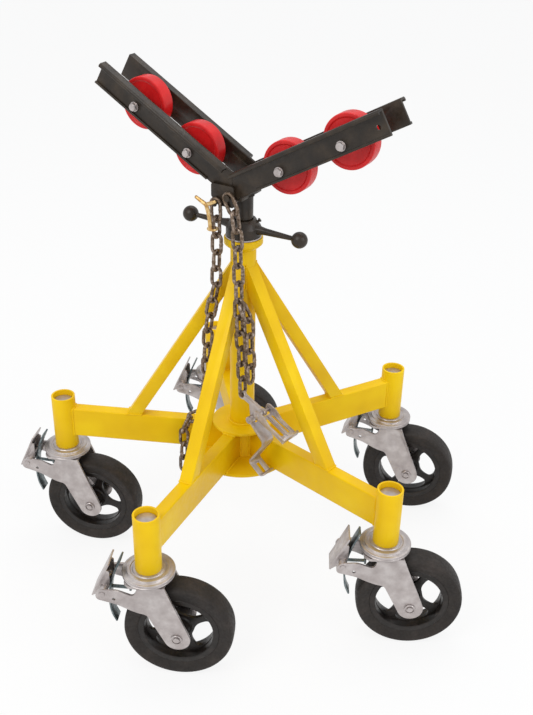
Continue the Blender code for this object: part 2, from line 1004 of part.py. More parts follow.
def saddle_mesh():
    """Base plate on the post, a V wing inside each rail and the chain tab in front."""
    low = saddle_low()
    vee = vee_height()
    high = low + saddle_base_thickness
    inside = rail_offset - gap
    long = saddle_half_length
    front = rail_offset + rail_web + gap
    rise = math.radians(arm_rise_deg)
    base = box((-long, long), (-inside, inside), (low, high))

    def on_arm(sign, along, height):
        reach = along * math.cos(rise) - height * math.sin(rise)
        return (sign * reach, vee + along * math.sin(rise) + height * math.cos(rise))

    wing = [
        (0.0, vee - saddle_wing_low / math.cos(rise)),
        on_arm(1.0, saddle_wing_reach, -saddle_wing_low),
        on_arm(1.0, saddle_wing_reach, saddle_wing_high),
        (0.0, vee + saddle_wing_high / math.cos(rise)),
        on_arm(-1.0, saddle_wing_reach, saddle_wing_high),
        on_arm(-1.0, saddle_wing_reach, -saddle_wing_low),
    ]
    wings = [
        upright([wing], inside - saddle_wall, inside),
        upright([wing], -inside, saddle_wall - inside),
    ]
    tab = upright(
        [
            [
                (-tab_left, low + tab_rise),
                (-tab_left, low - tab_drop + tab_corner),
                (tab_corner - tab_left, low - tab_drop),
                (tab_right, low - tab_drop),
                (tab_right, low + tab_rise),
            ]
        ],
        front,
        front + tab_thickness,
    )
    bridge_top = low + bridge_thickness - bridge_drop
    bridge = box(
        (tab_corner - tab_left, -long / 2),
        (-front - tab_thickness / 2, -inside + saddle_wall),
        (low - bridge_drop, bridge_top),
    )
    pins = []
    for across, height in (right_pin_spot, left_pin_spot):
        reach = front + tab_thickness
        head = reach + 2.0 * wire_radius + 2.0 * gap + seat_gap
        stud = turned(
            [
                (0.0, reach - tab_thickness / 2),
                (chain_pin_radius, reach - tab_thickness / 2),
                (chain_pin_radius, head),
                (chain_pin_head_radius, head),
                (chain_pin_head_radius, head + chain_pin_head_thickness),
                (0.0, head + chain_pin_head_thickness),
            ],
            8,
        )
        pins.append(moved(stud, Matrix.Translation((across, 0.0, low + height)) @ UPRIGHT))
    bore = turned(
        [
            (0.0, low - overreach),
            (post_radius + gap, low - overreach),
            (post_radius + gap, low + saddle_base_thickness / 2 + gap),
            (0.0, low + saddle_base_thickness / 2 + gap),
        ],
        round_sides,
    )
    return combined(base, joins=wings + [tab, bridge] + pins, cuts=[bore])


def head_matrix():
    return Matrix.Rotation(math.radians(head_turn_deg), 4, "Z")


def hung_from(spot, course):
    """A chain's course with its first point where the top link's bend rests on its pin."""
    base = saddle_low()
    reach = rail_offset + rail_web + 2.0 * gap + tab_thickness + wire_radius
    pin = head_matrix() @ Vector((spot[0], -reach, base + spot[1]))
    below = [Vector((x, y, base + height)) for x, y, height in course]
    upward = (pin - below[0]).normalized()
    return [pin + upward * (chain_pin_radius + seat_gap), *below]


def build_head():
    head = empty("head_frame", (0.0, 0.0, 0.0), head_turn_deg)
    part("head_saddle", saddle_mesh(), "black_steel", head)
    roller = roller_mesh()
    bolt = roller_bolt_mesh()
    for name, turn, start in (("right", 0.0, None), ("left", 180.0, left_flange_start)):
        arm = empty("arm_" + name, (0.0, 0.0, vee_height()), turn, head)
        arm.rotation_euler = (0.0, math.radians(-arm_rise_deg), math.radians(turn))
        for face, front in (("front", turn == 0.0), ("rear", turn != 0.0)):
            tip_hole = name == "right" and front
            part("rail_" + name + "_" + face, rail_mesh(front, start, tip_hole), "black_steel", arm)
        for index, spot in enumerate(roller_spots):
            which = ("inner", "outer")[index]
            place = (spot, 0.0, 0.0)
            part("roller_" + name + "_" + which, roller, "red_roller", arm, place)
            part("roller_bolt_" + name + "_" + which, bolt, "zinc", arm, place)


# Chains


def link_mesh():
    """One oval link: long axis Z, width X."""
    path = []
    for sign, first in ((1.0, 0.0), (-1.0, math.pi)):
        for step in range(bend_steps + 1):
            angle = first + math.pi * step / bend_steps
            height = sign * link_half_straight + link_bend_radius * math.sin(angle)
            path.append((link_bend_radius * math.cos(angle), 0.0, height))
    return swept(path, wire_radius, wire_sides, (0.0, 1.0, 0.0))


def link_pitch():
    return 2.0 * (link_half_straight + link_bend_radius - wire_radius) + link_bite


def stations(course, step, count):
    """Points along the course, each the same straight distance from the last."""
    course = [Vector(point) for point in course]
    here = course[0]
    found = [here]
    segment = 0
    while len(found) <= count:
        while segment < len(course) - 2 and (course[segment + 1] - here).length < step:
            segment += 1
        start, end = course[segment], course[segment + 1]
        way = (end - start).normalized()
        offset = start - here
        half = offset.dot(way)
        along = -half + math.sqrt(max(half * half - offset.length_squared + step * step, 0.0))
        here = start + way * along
        found.append(here)
    return found


def placed_links(points, widths):
    """Links between neighbouring points, in two groups that alternate along the run."""
    link = link_mesh()
    groups = ([], [])
    for index in range(len(points) - 1):
        low, high = points[index + 1], points[index]
        axis = (high - low).normalized()
        wide = Vector(widths[index % len(widths)])
        wide = (wide - axis * wide.dot(axis)).normalized()
        turn = Matrix((wide, axis.cross(wide), axis)).transposed().to_4x4()
        groups[index % 2].append(moved(link, Matrix.Translation((low + high) / 2) @ turn))
    return groups


def ribbon(points, thickness):
    """Outline of a bent strip of even thickness along a line of points."""
    points = [Vector(point) for point in points]
    sides = ([], [])
    for index, point in enumerate(points):
        before = (point - points[index - 1]).normalized() if index else None
        after = (points[index + 1] - point).normalized() if index < len(points) - 1 else None
        way = (before or after) + (after or before)
        way.normalize()
        lean = Vector((-way.y, way.x))
        reach = thickness / 2 / max(way.dot(after or before), 0.5)
        sides[0].append(tuple(point + lean * reach))
        sides[1].append(tuple(point - lean * reach))
    return sides[0] + sides[1][::-1]


def drum(radius, half, sides, spot=(0.0, 0.0)):
    """A cylinder along Y, centred on a spot (x, z)."""
    shape = turned([(0.0, -half), (radius, -half), (radius, half), (0.0, half)], sides, "Y")
    return moved(shape, Matrix.Translation((spot[0], 0.0, spot[1])))


def tensioner_body_mesh():
    """Bar from the chain's eye to the hinge boss, with the lug that carries the strap."""
    half = bar_depth / 2
    eye = (0.0, 0.0)
    bar_run = Vector(hinge_spot).normalized()
    lean = Vector((-bar_run.y, bar_run.x)) * bar_half_height
    hinge = Vector(hinge_spot)
    bar = upright([[tuple(lean), tuple(-lean), tuple(hinge - lean), tuple(hinge + lean)]], -half, half)
    lug = Vector(lug_spot)
    neck = hinge * (lug.x / hinge.x)
    side = Vector((lug_radius, 0.0))
    wide = side * lug_neck_share
    neck_sheet = [tuple(neck - wide), tuple(lug - side), tuple(lug + side), tuple(neck + wide)]
    joins = [
        drum(eye_radius, half, 10, eye),
        drum(bar_boss_radius, half, 10, hinge_spot),
        drum(lug_radius, half, 10, lug_spot),
        upright([neck_sheet], -half, half),
        drum(tensioner_pin_radius, lever_width / 2, 8, hinge_spot),
        drum(tensioner_pin_radius, strap_width / 2, 8, lug_spot),
    ]
    return combined(bar, joins=joins, cuts=[drum(eye_hole_radius, bar_depth, 10, eye)])


def tensioner_lever_mesh():
    """Slotted channel with two cheeks that reach back past the hinge; +X runs along it."""
    half = lever_width / 2
    thick = lever_sheet / 2
    start, end = lever_start, lever_length
    slots = []
    for sign in (1, -1):
        near, far = (sign * side for side in lever_slot_sides)
        slots.append([(x, y) for x, y in zip(lever_slot_ends * 2, (near, near, far, far))])
        slots[-1] = [slots[-1][0], slots[-1][1], slots[-1][3], slots[-1][2]]
    plate = sheet(
        [[(start, -half + thick), (end, -half + thick), (end, half - thick), (start, half - thick)]] + slots,
        lever_sheet,
        -thick,
    )
    cheek = [
        (-lever_ear_back, lever_ear_low),
        (-lever_ear_back, lever_ear_high - lever_sheet),
        (-lever_ear_back * lever_ear_peak_share, lever_ear_high),
        (lever_ear_back * lever_ear_slope_share, lever_ear_high - lever_sheet),
        (lever_ear_back, lever_sheet),
        (end, lever_sheet),
        (end, -lever_skirt),
        (-lever_ear_low, -lever_skirt),
    ]
    hole = ring((0.0, 0.0), tensioner_pin_radius + gap, 8)
    cheeks = [
        upright([cheek, hole], half - lever_sheet, half),
        upright([cheek, hole], -half, lever_sheet - half),
    ]
    rib_half = lever_slot_sides[0] * lever_rib_share
    rib = box((start + thick, end - thick), (-rib_half, rib_half), (0.0, lever_rib_height))
    lip_half = lever_lip_width / 2
    lip = box((end - lever_sheet, end + thick), (-lip_half, lip_half), (-lever_skirt / 2, lever_lip_height))
    return combined(plate, joins=cheeks + [rib, lip])


def strap_mesh():
    """Bent strap with a split knuckle on the lug's pin and a curled lower end."""
    half = strap_width / 2
    spot = Vector(lug_spot)
    knuckle_radius = tensioner_pin_radius + gap + strap_thickness
    first = (Vector(strap_course[0]) - spot).normalized()
    begin = spot + first * (knuckle_radius - strap_thickness * knuckle_bite_share)
    strip = upright([ribbon([tuple(begin), *strap_course], strap_thickness)], -half, half)
    slot_half = bar_depth / 2 + gap * 3
    slot_reach = lug_radius + gap * 6
    slot = box(
        (spot.x - slot_reach * 2, spot.x + slot_reach),
        (-slot_half, slot_half),
        (spot.y - slot_reach, spot.y + slot_reach * 3),
    )
    bore = drum(tensioner_pin_radius + gap, strap_width, 8, lug_spot)
    return combined(strip, joins=[drum(knuckle_radius, half, 10, lug_spot)], cuts=[bore, slot])


def build_chains():
    pitch = link_pitch()
    across = head_matrix() @ Vector((1.0, 0.0, 0.0))
    toward = head_matrix() @ Vector((0.0, -1.0, 0.0))
    right = stations(hung_from(right_pin_spot, right_chain_course), pitch, right_chain_links)
    even, odd = placed_links(right, [across, toward])
    swing = Matrix.Rotation(math.radians(tensioner_turn_deg), 4, "Z")
    held = right[tail_from_link] + swing @ Vector(tail_start)
    aside = right[tail_from_link] + swing @ Vector((*tail_offset, 0.0))
    course = [held, aside - Vector((0.0, 0.0, pitch))]
    bottom = right[-1] + swing @ Vector((*tail_offset, 0.0))
    course.append(bottom - Vector((0.0, 0.0, pitch)))
    tail = stations(course, pitch, tail_links)
    tail_even, tail_odd = placed_links(tail, [toward, across])
    joins = [together(odd), together(tail_even), together(tail_odd)]
    part("right_chain", combined(together(even), joins=joins), "chain_steel")

    end = right[-1]
    frame = empty("tensioner_frame", end - Vector((0.0, 0.0, eye_drop)), tensioner_turn_deg)
    part("tensioner_body", tensioner_body_mesh(), "zinc", frame)
    hinge = (hinge_spot[0], 0.0, hinge_spot[1])
    part("tensioner_lever", tensioner_lever_mesh(), "zinc", frame, hinge, (0.0, -lever_fall_deg, 0.0))
    lug = Vector((lug_spot[0], 0.0, lug_spot[1]))
    part("tensioner_strap", moved(strap_mesh(), Matrix.Translation(-lug)), "zinc", frame, lug)

    left = stations(hung_from(left_pin_spot, left_chain_course), pitch, left_chain_links)
    even, odd = placed_links(left, [across, toward])
    part("left_chain", combined(together(even), joins=[together(odd)]), "chain_steel")
    build_grab_hook(left[grab_link], left[grab_link + 1], toward)


def build_grab_hook(high, low, toward):
    """Ring through one link of the chain, then a stem and two prongs in an upright plane."""
    axis = (high - low).normalized()
    outward = (toward - axis * toward.dot(axis)).normalized()
    inside = link_bend_radius - wire_radius - grab_ring_wire
    back = (high + low) / 2 + outward * inside
    frame = empty("grab_hook_frame", back, head_turn_deg)
    local = (Matrix.Translation(back) @ head_matrix()).inverted()
    centre = local @ (back + outward * grab_ring_radius)
    up = local.to_3x3() @ axis
    out = local.to_3x3() @ outward
    side = up.cross(out).normalized()
    loop = []
    for step in range(10):
        angle = 2.0 * math.pi * step / 10
        spoke = out * math.cos(angle) + side * math.sin(angle)
        loop.append(centre + spoke * grab_ring_radius)
    hoop = swept(loop, grab_ring_wire, 5, -up)
    root = centre + out * grab_ring_radius
    stem = [root + Vector((x, 0.0, z)) for x, z in ((0.0, 0.0), *grab_stem)]
    flat = (0.0, 1.0, 0.0)
    fork = stem[-1]
    prongs = []
    for x, z in (grab_left_prong, grab_right_prong):
        tip = root + Vector((x, 0.0, z))
        begin = fork - (tip - fork) * prong_root_share
        prongs.append(swept([begin, tip], grab_wire_radius, 6, flat, False, grab_tip_radius))
    bar = swept(stem, grab_wire_radius, 6, flat, False)
    part("grab_hook", combined(hoop, joins=[bar] + prongs), "gold_zinc", frame)


remove_everything()
build_column()
build_hub()
build_legs()
build_casters()
build_jack()
build_head()
build_chains()
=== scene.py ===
"""Looks of a pipe jack stand: painted frame, casters, screw jack, roller head and chains.

Metres, +Z up. The column axis stands a little off the origin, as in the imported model.
"""

import math

import bmesh
import bpy
from mathutils import Matrix, Vector


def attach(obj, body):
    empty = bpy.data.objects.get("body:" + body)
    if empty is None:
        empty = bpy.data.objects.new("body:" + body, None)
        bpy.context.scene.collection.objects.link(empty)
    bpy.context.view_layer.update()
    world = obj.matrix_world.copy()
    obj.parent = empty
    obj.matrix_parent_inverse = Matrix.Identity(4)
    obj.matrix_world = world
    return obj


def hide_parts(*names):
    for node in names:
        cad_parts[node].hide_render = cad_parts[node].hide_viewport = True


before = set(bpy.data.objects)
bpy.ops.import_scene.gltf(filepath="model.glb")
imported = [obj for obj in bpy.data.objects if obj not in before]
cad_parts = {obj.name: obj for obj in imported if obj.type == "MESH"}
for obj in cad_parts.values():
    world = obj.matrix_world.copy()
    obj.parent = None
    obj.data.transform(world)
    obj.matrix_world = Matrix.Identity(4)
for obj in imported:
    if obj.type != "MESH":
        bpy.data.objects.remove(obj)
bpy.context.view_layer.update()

# Materials

USUAL_COARSENESS = 0.55
UNSTRETCHED = (1.0, 1.0, 1.0)
MIDDLE_LOW, MIDDLE_HIGH = 0.35, 0.65
SCUFF_START, SCUFF_FULL, SCUFF_MOST = 0.66, 0.74, 0.35


def srgb(code):
    """Linear colour of six hexadecimal sRGB digits."""
    channels = [int(code[i : i + 2], 16) / 255 for i in (0, 2, 4)]
    linear = [c / 12.92 if c <= 0.04045 else ((c + 0.055) / 1.055) ** 2.4 for c in channels]
    return (*linear, 1.0)


def add_node(tree, kind, settings=None, **links):
    """A node with its settings; its inputs, values or sockets, go in by name or, as i0, by number."""
    made = tree.nodes.new(kind)
    for key, value in (settings or {}).items():
        setattr(made, key, value)
    for key, value in links.items():
        numbered = key[0] == "i" and key[1:].isdigit()
        socket = made.inputs[int(key[1:]) if numbered else key.replace("_", " ")]
        if isinstance(value, bpy.types.NodeSocket):
            tree.links.new(value, socket)
        else:
            socket.default_value = value
    return made


def finish(name, plain, tone, stops, gloss, roughness, grain=None, relief=None, scuffs=None, bare=None):
    """A material: colour in broad clouds, gloss in finer ones, grain as relief, scuffs of a bare colour.

    tone, gloss, grain and scuffs are each a size in millimetres and a detail, then a coarseness and
    a stretch where they are not the usual ones. relief is a depth in millimetres and a strength.
    Real grain is finer than the picture can show, so it is drawn one to two millimetres across.
    """
    made = bpy.data.materials.new(name)
    made.use_nodes = True
    tree = made.node_tree
    shader = tree.nodes["Principled BSDF"]
    for key, value in plain.items():
        shader.inputs[key].default_value = value
    place = add_node(tree, "ShaderNodeTexCoord").outputs["Object"]
    clouds = []
    for pattern in (tone, gloss, grain, scuffs):
        if pattern is None:
            clouds.append(None)
            continue
        usual = (USUAL_COARSENESS, UNSTRETCHED)[len(pattern) - 2 :]
        size_mm, detail, coarse, stretch = (*pattern, *usual)
        fitted = add_node(tree, "ShaderNodeMapping", Vector=place, Scale=stretch).outputs[0]
        sizes = {"Scale": 1000.0 / size_mm, "Detail": detail, "Roughness": coarse}
        clouds.append(add_node(tree, "ShaderNodeTexNoise", Vector=fitted, **sizes).outputs[0])
    ramp = add_node(tree, "ShaderNodeValToRGB", i0=clouds[0])
    first, last = ramp.color_ramp.elements
    for element, (position, code) in ((first, stops[0]), (last, stops[-1])):
        element.position = position
        element.color = srgb(code)
    for position, code in stops[1:-1]:
        ramp.color_ramp.elements.new(position).color = srgb(code)
    colour = ramp.outputs["Color"]
    if scuffs:
        span = {"From_Min": SCUFF_START, "From_Max": SCUFF_FULL, "To_Min": 0.0, "To_Max": SCUFF_MOST}
        worn = add_node(tree, "ShaderNodeMapRange", Value=clouds[3], **span).outputs[0]
        mixed = add_node(tree, "ShaderNodeMix", {"data_type": "RGBA"}, i0=worn, i6=colour, i7=srgb(bare))
        colour = mixed.outputs[2]
    span = {"From_Min": MIDDLE_LOW, "From_Max": MIDDLE_HIGH, "To_Min": roughness[0], "To_Max": roughness[1]}
    dulled = add_node(tree, "ShaderNodeMapRange", Value=clouds[1], **span).outputs[0]
    tree.links.new(colour, shader.inputs["Base Color"])
    tree.links.new(dulled, shader.inputs["Roughness"])
    if grain:
        depth = relief[0] / 1000.0
        bump = add_node(tree, "ShaderNodeBump", Height=clouds[2], Distance=depth, Strength=relief[1])
        tree.links.new(bump.outputs[0], shader.inputs["Normal"])
    return made


# Enamel on steel, sprayed: semi-gloss, slightly wavy, scuffed to a duller yellow in small streaks
ENAMEL = finish(
    "yellow enamel sprayed on steel",
    {"IOR": 1.5, "Specular IOR Level": 0.20, "Coat Weight": 0.03, "Coat Roughness": 0.15},
    tone=(90.0, 2.0),
    stops=((0.30, "E2B504"), (0.50, "E9BE05"), (0.70, "EFC808")),
    gloss=(9.0, 4.0),
    roughness=(0.36, 0.50),
    grain=(1.6, 1.0),
    relief=(0.03, 0.35),
    scuffs=(5.0, 5.0, 0.7, (1.0, 1.0, 0.35)),
    bare="B98A14",
)

# Black paint on formed steel: satin, with a brown cast where it is dusty
BLACK = finish(
    "black paint on formed steel",
    {"IOR": 1.5, "Specular IOR Level": 0.38, "Coat Weight": 0.04, "Coat Roughness": 0.20},
    tone=(30.0, 4.0),
    stops=((0.32, "1E1710"), (0.50, "292017"), (0.68, "372C20")),
    gloss=(7.0, 4.0),
    roughness=(0.30, 0.48),
    grain=(2.0, 2.0),
    relief=(0.05, 0.4),
)

# Zinc electroplate, clear passivated: cool grey metal with cloudy brightness
ZINC = finish(
    "clear zinc electroplate on steel",
    {"Metallic": 0.75},
    tone=(22.0, 4.0),
    stops=((0.30, "A9A09E"), (0.52, "B9B1AF"), (0.70, "C8C1BF")),
    gloss=(6.0, 3.0),
    roughness=(0.28, 0.46),
    grain=(1.2, 2.0),
    relief=(0.02, 0.3),
)

# Blued spring steel: thin blue-grey oxide, cloudy from dark to bright; its tone is kept darker than the
# zinc's as painted shade and painted dark reflections on the brake leaf
BLUED_IN_PAINTED_SHADE = finish(
    "blued spring steel in painted shade",
    {"Metallic": 0.75},
    tone=(16.0, 4.0),
    stops=((0.30, "4A5355"), (0.52, "6F7A7C"), (0.70, "9DA3A4")),
    gloss=(5.0, 3.0),
    roughness=(0.28, 0.46),
    grain=(1.2, 2.0),
    relief=(0.02, 0.3),
)

# Yellow zinc electroplate: pale gold metal
GOLD = finish(
    "yellow zinc electroplate on steel",
    {"Metallic": 0.7},
    tone=(8.0, 3.0),
    stops=((0.35, "B88E52"), (0.52, "D2AE72"), (0.68, "E6CD9A")),
    gloss=(4.0, 3.0),
    roughness=(0.26, 0.42),
)

# Moulded rubber: soft dark brown-black with a film of floor dust
RUBBER = finish(
    "moulded black rubber",
    {"IOR": 1.52, "Specular IOR Level": 0.35},
    tone=(35.0, 5.0, 0.65),
    stops=((0.35, "1F1A17"), (0.55, "29231F"), (0.72, "372F2B")),
    gloss=(5.0, 4.0),
    roughness=(0.55, 0.75),
    grain=(1.0, 3.0),
    relief=(0.06, 0.4),
)

# Cast iron, painted black: sand texture under semi-gloss paint
CORE = finish(
    "black painted cast iron",
    {"IOR": 1.5, "Specular IOR Level": 0.35},
    tone=(14.0, 4.0),
    stops=((0.35, "17130F"), (0.55, "211B18"), (0.72, "2E2723")),
    gloss=(5.0, 3.0),
    roughness=(0.30, 0.50),
    grain=(1.1, 4.0),
    relief=(0.10, 0.5),
)

# Cast polyurethane: deep red and smooth, slightly cloudy
RED = finish(
    "cast red polyurethane",
    {"IOR": 1.5, "Specular IOR Level": 0.30, "Coat Weight": 0.05, "Coat Roughness": 0.15},
    tone=(26.0, 3.0),
    stops=((0.32, "BF1517"), (0.52, "CC1A1C"), (0.70, "D62523")),
    gloss=(4.0, 4.0),
    roughness=(0.30, 0.48),
    grain=(2.0, 2.0),
    relief=(0.03, 0.3),
)

# Drawn chain wire, oiled: brown-black steel with bright bare spots
WIRE = finish(
    "oiled drawn steel wire",
    {"Metallic": 0.65},
    tone=(6.0, 4.0, 0.6),
    stops=((0.30, "4A3A30"), (0.48, "72604F"), (0.60, "97867A"), (0.72, "CDC0B6")),
    gloss=(3.0, 3.0),
    roughness=(0.28, 0.50),
    grain=(1.5, 3.0),
    relief=(0.05, 0.4),
)

# Places and outlines


def shift(x, y, z):
    return Matrix.Translation((x, y, z))


def turn_about(axis, degrees):
    return Matrix.Rotation(math.radians(degrees), 4, axis)


CENTRE = (0.0, 0.0)
UPRIGHT = turn_about("X", 90.0)
NEARLY_STRAIGHT = math.radians(172.0)
column = shift(-0.0017, -0.0137, 0.0)


def oblong(left, right, low, high):
    return [(left, low), (right, low), (right, high), (left, high)]


def ring(centre, radius, sides, first_deg=0.0, sweep_deg=360.0, ends=False):
    points = []
    for step in range(sides + 1 if ends else sides):
        angle = math.radians(first_deg + sweep_deg * step / sides)
        points.append((centre[0] + radius * math.cos(angle), centre[1] + radius * math.sin(angle)))
    return points


def corner_curve(before, corner, after, reach, steps):
    """Points that round a corner between its two sides, from reach before it to reach after it."""
    start = corner + before.normalized() * reach
    end = corner + after.normalized() * reach
    points = []
    for step in range(steps + 1):
        share = step / steps
        points.append(tuple(start * (1 - share) ** 2 + corner * 2 * share * (1 - share) + end * share**2))
    return points


def filleted(outline, radius, steps=5, room_share=0.45):
    """The outline with each corner rounded, as far as its sides leave room."""
    points = [Vector(point) for point in outline]
    soft = []
    for index, corner in enumerate(points):
        before = points[index - 1] - corner
        after = points[(index + 1) % len(points)] - corner
        angle = before.angle(after)
        if angle > NEARLY_STRAIGHT:
            soft.append(tuple(corner))
            continue
        room = min(before.length, after.length) * room_share
        soft += corner_curve(before, corner, after, min(radius / math.tan(angle / 2.0), room), steps)
    return soft


def eased(line_points, radius, steps=6, room_share=0.48):
    """An open line with its inner corners rounded."""
    points = [Vector(point) for point in line_points]
    soft = [tuple(points[0])]
    for start, corner, end in zip(points, points[1:], points[2:]):
        before, after = start - corner, end - corner
        room = min(before.length, after.length) * room_share
        soft += corner_curve(before, corner, after, min(radius, room), steps)
    return [*soft, tuple(points[-1])]


def ribbon(line_points, thickness):
    """Outline of a bent strip of even thickness along a line of points."""
    points = [Vector(point) for point in line_points]
    sides = ([], [])
    for index, point in enumerate(points):
        before = (point - points[index - 1]).normalized() if index else None
        after = (points[index + 1] - point).normalized() if index < len(points) - 1 else None
        way = ((before or after) + (after or before)).normalized()
        lean = Vector((-way.y, way.x))
        reach = thickness / 2 / max(way.dot(after or before), 0.5)
        sides[0].append(tuple(point + lean * reach))
        sides[1].append(tuple(point - lean * reach))
    return sides[0] + sides[1][::-1]


def line(start, end, steps=8):
    start, end = Vector(start), Vector(end)
    return [start.lerp(end, step / steps) for step in range(steps + 1)]


def walked(corners, steps):
    """A closed run of straight sides, each one cut into even steps."""
    points = []
    for corner, after in zip(corners, corners[1:] + corners[:1]):
        for step in range(steps):
            points.append([a + (b - a) * step / steps for a, b in zip(corner, after)])
    return points


# Shapes

DOUBLES = 0.000005
BOOLEAN_DOUBLES = 0.00001
FLAT_ANGLE = math.radians(0.5)
EDGE_ANGLE = math.radians(40.0)
# Greatest angle between faces that still shades smooth, bead also for the thin spring wire
PLAIN_DEG, LATHE_DEG, NUT_DEG, THREAD_DEG = 32.0, 25.0, 28.0, 30.0
HOOK_DEG, LINK_DEG, BEAD_DEG = 50.0, 60.0, 80.0


def plain_mesh(bm):
    mesh = bpy.data.meshes.new("shape")
    bm.to_mesh(mesh)
    bm.free()
    return mesh


def mesh_from(bm):
    """The mesh with its doubles merged and its faces turned outwards."""
    bmesh.ops.remove_doubles(bm, verts=bm.verts, dist=DOUBLES)
    bmesh.ops.recalc_face_normals(bm, faces=bm.faces)
    return plain_mesh(bm)


def moved(mesh, matrix):
    copy = mesh.copy()
    copy.transform(matrix)
    if matrix.determinant() < 0.0:
        copy.flip_normals()
    return copy


def turned(profile, sides, axis="Z"):
    """A profile of (radius, height) points spun about +Z, closed unless it ends on the axis."""
    bm = bmesh.new()
    verts = [bm.verts.new((radius, 0.0, height)) for radius, height in profile]
    edges = [bm.edges.new(pair) for pair in zip(verts, verts[1:])]
    if profile[0][0] > 0.0 or profile[-1][0] > 0.0:
        edges.append(bm.edges.new((verts[-1], verts[0])))
    spin = {"cent": (0, 0, 0), "axis": (0, 0, 1), "angle": 2.0 * math.pi, "steps": sides, "use_merge": True}
    bmesh.ops.spin(bm, geom=verts + edges, **spin)
    mesh = mesh_from(bm)
    if axis == "Y":
        mesh.transform(UPRIGHT)
    return mesh


def rod(radius, low, high, sides, axis="Z"):
    return turned([(0.0, low), (radius, low), (radius, high), (0.0, high)], sides, axis)


def tube(bore, radius, low, high, sides):
    return turned([(bore, low), (bore, high), (radius, high), (radius, low)], sides)


def drum(radius, half, sides, spot=CENTRE):
    """A round bar across, its middle at a spot of the upright plane."""
    return moved(rod(radius, -half, half, sides, "Y"), shift(spot[0], 0.0, spot[1]))


def both_sides(half):
    """A profile that mirrors itself about its middle, from one half."""
    return half + [(radius, -height) for radius, height in reversed(half)]


def ball(radius, sides, rings):
    bm = bmesh.new()
    bmesh.ops.create_uvsphere(bm, u_segments=sides, v_segments=rings, radius=radius)
    return mesh_from(bm)


def sheet(loops, depth, start=0.0):
    """Flat stock: an outline in XY with hole outlines, raised from start by depth along +Z."""
    bm = bmesh.new()
    edges = []
    for loop in loops:
        verts = [bm.verts.new((x, y, start)) for x, y in loop]
        edges += [bm.edges.new(pair) for pair in zip(verts, verts[1:] + verts[:1])]
    if len(loops) == 1:
        bm.faces.new(verts)
    else:
        bmesh.ops.triangle_fill(bm, use_beauty=True, edges=edges)
    raised = bmesh.ops.extrude_face_region(bm, geom=bm.faces[:])
    tops = [item for item in raised["geom"] if isinstance(item, bmesh.types.BMVert)]
    bmesh.ops.translate(bm, verts=tops, vec=(0.0, 0.0, depth))
    return mesh_from(bm)


def upright(loops, near, far):
    """An upright plate between the offsets near and far along -Y."""
    return moved(sheet(loops, far - near, near), UPRIGHT)


def box(x, y, z):
    return sheet([oblong(*x, *y)], z[1] - z[0], z[0])


def skinned(rows, closed=False):
    """Walls between neighbouring rows of points, with both ends capped unless the rows close."""
    bm = bmesh.new()
    rows = [[bm.verts.new(point) for point in row] for row in rows]
    following = rows[1:] + rows[:1] if closed else rows[1:]
    for first, second in zip(rows, following):
        for side in range(len(first)):
            other = (side + 1) % len(first)
            bm.faces.new((first[side], first[other], second[other], second[side]))
    if not closed:
        bm.faces.new(rows[0])
        bm.faces.new(rows[-1])
    return mesh_from(bm)


def swept(path, radii, sides, normal, closed=False):
    """A round bar along a flat path, a radius for each point; normal is square to the path's plane."""
    normal = Vector(normal).normalized()
    points = [Vector(point) for point in path]
    last = len(points) - 1
    rows = []
    for index, point in enumerate(points):
        before = points[index - 1] if closed or index else point
        after = points[(index + 1) % len(points)] if closed or index < last else point
        way = ((point - before).normalized() + (after - point).normalized()).normalized()
        across = normal.cross(way).normalized()
        section = ring(CENTRE, radii[index], sides)
        rows.append([point + across * x + normal * y for x, y in section])
    return skinned(rows, closed)


def together(meshes):
    bm = bmesh.new()
    for mesh in meshes:
        bm.from_mesh(mesh)
    return plain_mesh(bm)


def shown(name, data):
    """A new object, linked into the scene."""
    made = bpy.data.objects.new(name, data)
    bpy.context.scene.collection.objects.link(made)
    return made


def settled(body, *helpers):
    """The object's finished mesh; the object and its helpers are removed."""
    graph = bpy.context.evaluated_depsgraph_get()
    graph.update()
    mesh = bpy.data.meshes.new_from_object(body.evaluated_get(graph))
    for item in (body, *helpers):
        bpy.data.objects.remove(item, do_unlink=True)
    return mesh


def boolean(body, tool, operation):
    helper = shown("tool", tool)
    helper.hide_render = True
    step = body.modifiers.new(operation.lower(), "BOOLEAN")
    step.operation = operation
    step.solver = "MANIFOLD"
    step.object = helper
    return helper


def combined(base, joins=(), cuts=()):
    """The base united with each of the joins, then cut by each of the cuts."""
    body = shown("body", base)
    helpers = [boolean(body, tool, "UNION") for tool in joins]
    helpers += [boolean(body, tool, "DIFFERENCE") for tool in cuts]
    bm = bmesh.new()
    bm.from_mesh(settled(body, *helpers))
    bmesh.ops.remove_doubles(bm, verts=bm.verts, dist=BOOLEAN_DOUBLES)
    bmesh.ops.dissolve_limit(bm, angle_limit=FLAT_ANGLE, verts=bm.verts, edges=bm.edges)
    return mesh_from(bm)


def rounded(mesh, width, steps=2):
    """The mesh with its sharp edges rolled over by a real edge radius."""
    body = shown("body", mesh)
    edge = body.modifiers.new("edge radius", "BEVEL")
    edge.width = width
    edge.segments = steps
    edge.limit_method = "ANGLE"
    edge.angle_limit = EDGE_ANGLE
    edge.use_clamp_overlap = True
    return settled(body)


def hexagon(radius, depth, start=0.0):
    """A bolt head or nut on +Z with its corners turned down."""
    outside, shoulder, end = radius * 1.02, start + depth * 0.72, start + depth
    profile = [(0.0, start), (outside, start), (outside, shoulder), (radius * 0.84, end), (0.0, end)]
    body = shown("body", sheet([ring(CENTRE, radius, 6)], depth, start))
    return settled(body, boolean(body, turned(profile, 36), "INTERSECT"))


